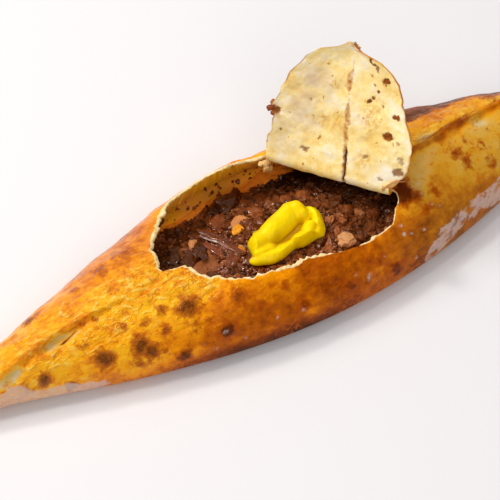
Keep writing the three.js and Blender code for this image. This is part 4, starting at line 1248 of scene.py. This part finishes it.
def lidScrap(aside, up, heading):
    # a place and a turn in the lid's own plane: sideways along the fold, then up the sheet
    level = min(up, 73.5)
    half = np.interp(level, *np.array(lidOutline["back" if aside < 0 else "front"]).T)
    across = np.array(0.5 + 0.5 * np.clip(aside / half, -1, 1))
    travelled = np.array(bendLength + level)
    here = lidPoint(across, travelled, np.array(0.4))
    upwards = unit(here - lidPoint(across, travelled - 1, np.array(0.4)))
    here = here + foldAxis * (aside - lidSpread(across, travelled)[0]) + upwards * (up - level)
    frameTurn = np.stack([foldAxis, upwards, np.cross(foldAxis, upwards)], axis=1)
    return here, frameTurn @ turnFromAngles(heading, 0, 0)


def buildScraps():
    scraps = [(place, turnFromAngles(*angles), size, tone) for place, size, angles, tone in rimScraps]
    scraps += [(*lidScrap(*place, heading), size, tone) for place, size, heading, tone in lidScraps]
    centres, turns, sizes, tones = (np.array(numbers, dtype=float) for numbers in zip(*scraps))
    scatter("doughScraps", ballPattern(12, 18), centres, sizes, turns, 0.4, 0.8,
            (scrapMaterial(), "baked_crust", ["crust"]), 13, {"tone": tones})


buildScraps()

# ---- the butter ----

butterOutline = np.array([
    (-41, -12), (-37.5, -9.5), (-36.5, -6), (-35, -0.5), (-30.5, 2), (-28, 5.5), (-24.5, 5), (-18, 7.5),
    (-12, 8.2), (-7, 9.5), (-2.5, 11.2), (1.5, 10.6), (5.5, 8), (8, 4.5), (11.5, 1.5), (13.7, -2), (12.5, -8),
    (9.5, -15), (5.5, -19.2), (1, -18.5), (-3.5, -18.8), (-8, -19.2), (-12.5, -17.6), (-18, -19),
    (-24, -20.6), (-30.5, -20), (-36, -17.6), (-40, -15.2),
], dtype=float)
# the soft lobes that it is folded into, each a rounded ridge: its path from above, its radius and its height
butterLobes = [
    ([(-34, -4.4), (-27, -3.6), (-20, -3.4)], 7.4, 9.6),
    ([(-20, -3), (-11, 0), (-4, 3.4), (0, 2.6)], 8.4, 11.9), ([(1, 3), (1.6, -2.5)], 5.2, 11.2),
    ([(-36, -14.6), (-28, -16), (-20, -16), (-15, -16)], 5.2, 4.8), ([(-35, -11.5), (-25, -12)], 3.4, 6.2),
    ([(-10, -16), (-3, -15.4), (1.5, -11)], 5.4, 8.0), ([(8.8, 0.5), (9.6, -5), (8, -11)], 4.7, 7.8),
    ([(5.5, -15.5), (3, -17.5)], 3.8, 6),
]
# the line of the hollow under the top lobe, where shade is painted
butterHollow = [(-24, -11.4), (-16, -12), (-9, -10.6), (-2, -6.5)]


def butterMaterial():
    # soft butter: saturated yellow, smooth, slightly glossy and a little translucent, with painted shade in
    # its creases
    fat = newMaterial("softYellowButter")
    place = addNode(fat, "TexCoord").outputs["Object"]
    crease, = attributes(fat, "crease")
    smear = noiseOf(fat, place, 6.0, 3.0)
    fresh = ramp(fat, smear, [(0.3, "#fbcf00"), (0.7, "#ffe200")])
    sockets = {"Base Color": blend(fat, crease, fresh, "#b88400"), "Roughness": 0.3, "IOR": 1.46,
               "Specular Tint": "#ffe680", "Subsurface Weight": 0.25, "Subsurface Radius": [1.0, 0.6, 0.1],
               "Subsurface Scale": 0.003}
    return finishMaterial(fat, sockets, smear, 0.25, 0.8)


def butterRise(x, y):
    # height over its skirt: the lobes meet in soft creases
    total = butter["floor"] ** 8
    for path, radius, height in butterLobes:
        ridge = height * np.sqrt(np.clip(1 - (fromPath(x, y, path) / radius) ** 2, 0, 1))
        total = total + ridge ** 8
    return total ** 0.125


def buildButter():
    outline = closedCurve(butterOutline, 14, 0.42)[::-1]
    middle = np.array([butter["x"], butter["y"]])
    seat = butter["seat"] + meat["restGap"]
    underShares = (0.5, 0.8, 0.9)
    under = len(underShares)
    rows = [plan(*mix(middle, outline, share).T, seat) for share in underShares]
    shadedCreases = [np.zeros(len(outline))] * under
    for share in mix(np.cos(np.linspace(0, math.pi / 2, 110)), np.linspace(1, 0, 110), 0.5)[:-1]:
        x, y = mix(middle, outline, share).T
        rise = butterRise(x, y)
        rounded = np.clip(3 * (1 - share ** 2), 0, 1) ** 0.4
        rows.append(plan(x, y, seat + butter["skirt"] + rise * rounded))
        # painted shade along the hollow and in the low parts between the lobes
        shaded = 0.8 * bump(fromPath(x, y, butterHollow), 2.4)
        shaded = np.maximum(shaded, smoothStep(5, 4.1, rise) * (y > -13))
        shadedCreases.append(shaded * smoothStep(0.4, 1, rounded))
    grid = np.array(rows)
    grid[under:] += gridNormals(grid)[under:] * (0.3 * layeredNoise(grid[under:], 7, 3, 131))[..., None]
    poles = np.array([[*middle, seat], grid[-1].mean(axis=0)])
    values = {"crease": np.append(np.array(shadedCreases).ravel(), [0, shadedCreases[-1].mean()])}
    ringPiece("softButter", grid, poles, [butterMaterial()], "soft_butter", ["butter"], values)


buildButter()

# ---- floor, light and camera ----

studio = {
    "floor": "#e9e8eb", "world": "#ffffff", "worldStrength": 0.4,
    "azimuth": 32.603, "elevation": 50.0, "distance": 1.1,  # of the camera from the middle of the underside
    "turned": 1.495,  # degrees that it then turns to its left
    "lens": 132.3,
}


def buildFloor():
    mesh = bpy.data.meshes.new("floor")
    mesh.from_pydata([(-4, -4, 0), (4, -4, 0), (4, 4, 0), (-4, 4, 0)], [], [(0, 1, 2, 3)])
    floor = bpy.data.objects.new("floor", mesh)
    bpy.context.scene.collection.objects.link(floor)
    mesh.materials.append(finishMaterial(newMaterial("palePaper"), {"Base Color": studio["floor"],
                                                                    "Roughness": 0.9}))


def addLight(name, place, aim, size, power, colour):
    data = bpy.data.lights.new(name, "AREA")
    data.shape = "DISK"
    data.size = size
    data.energy = power
    data.color = hexColour(colour)[:3]
    light = bpy.data.objects.new(name, data)
    light.location = place
    light.rotation_euler = (Vector(aim) - Vector(place)).to_track_quat("-Z", "Y").to_euler()
    bpy.context.scene.collection.objects.link(light)


def buildStudio():
    scene = bpy.context.scene
    buildFloor()
    world = bpy.data.worlds.new("softRoom")
    world.use_nodes = True
    background = world.node_tree.nodes["Background"]
    background.inputs["Color"].default_value = hexColour(studio["world"])
    background.inputs["Strength"].default_value = studio["worldStrength"]
    scene.world = world
    addLight("windowLight", (-0.9, 0.75, 1.25), (0, 0, 0), 0.9, 14.5, "#fffaf4")
    addLight("frontFill", (-0.5, -1.2, 1.3), (0, 0, 0.02), 1.2, 8, "#fffaf6")
    addLight("skylight", (0.0, 1.05, 1.6), (-0.12, 0, 0.03), 0.22, 7, "#fffdf8")
    addLight("ceilingLight", (-0.15, 0.35, 1.5), (-0.1, 0, 0.03), 0.16, 2.6, "#fffdf8")
    camera = bpy.data.cameras.new("camera")
    camera.lens = studio["lens"]
    camera.sensor_width = 36
    camera.clip_end = 50
    view = bpy.data.objects.new("camera", camera)
    azimuth, elevation, swing = (math.radians(studio[key]) for key in ("azimuth", "elevation", "turned"))
    forward = Vector((math.sin(azimuth) * math.cos(elevation), math.cos(azimuth) * math.cos(elevation),
                      -math.sin(elevation)))
    right = Vector((math.cos(azimuth), -math.sin(azimuth), 0))
    up = right.cross(forward)
    view.location = -forward * studio["distance"]
    forward, right = (forward * math.cos(swing) - right * math.sin(swing),
                      right * math.cos(swing) + forward * math.sin(swing))
    view.rotation_euler = Matrix((right, up, -forward)).transposed().to_euler()
    scene.collection.objects.link(view)
    scene.camera = view
    scene.view_settings.view_transform = "Standard"


buildStudio()
print("studio ready")
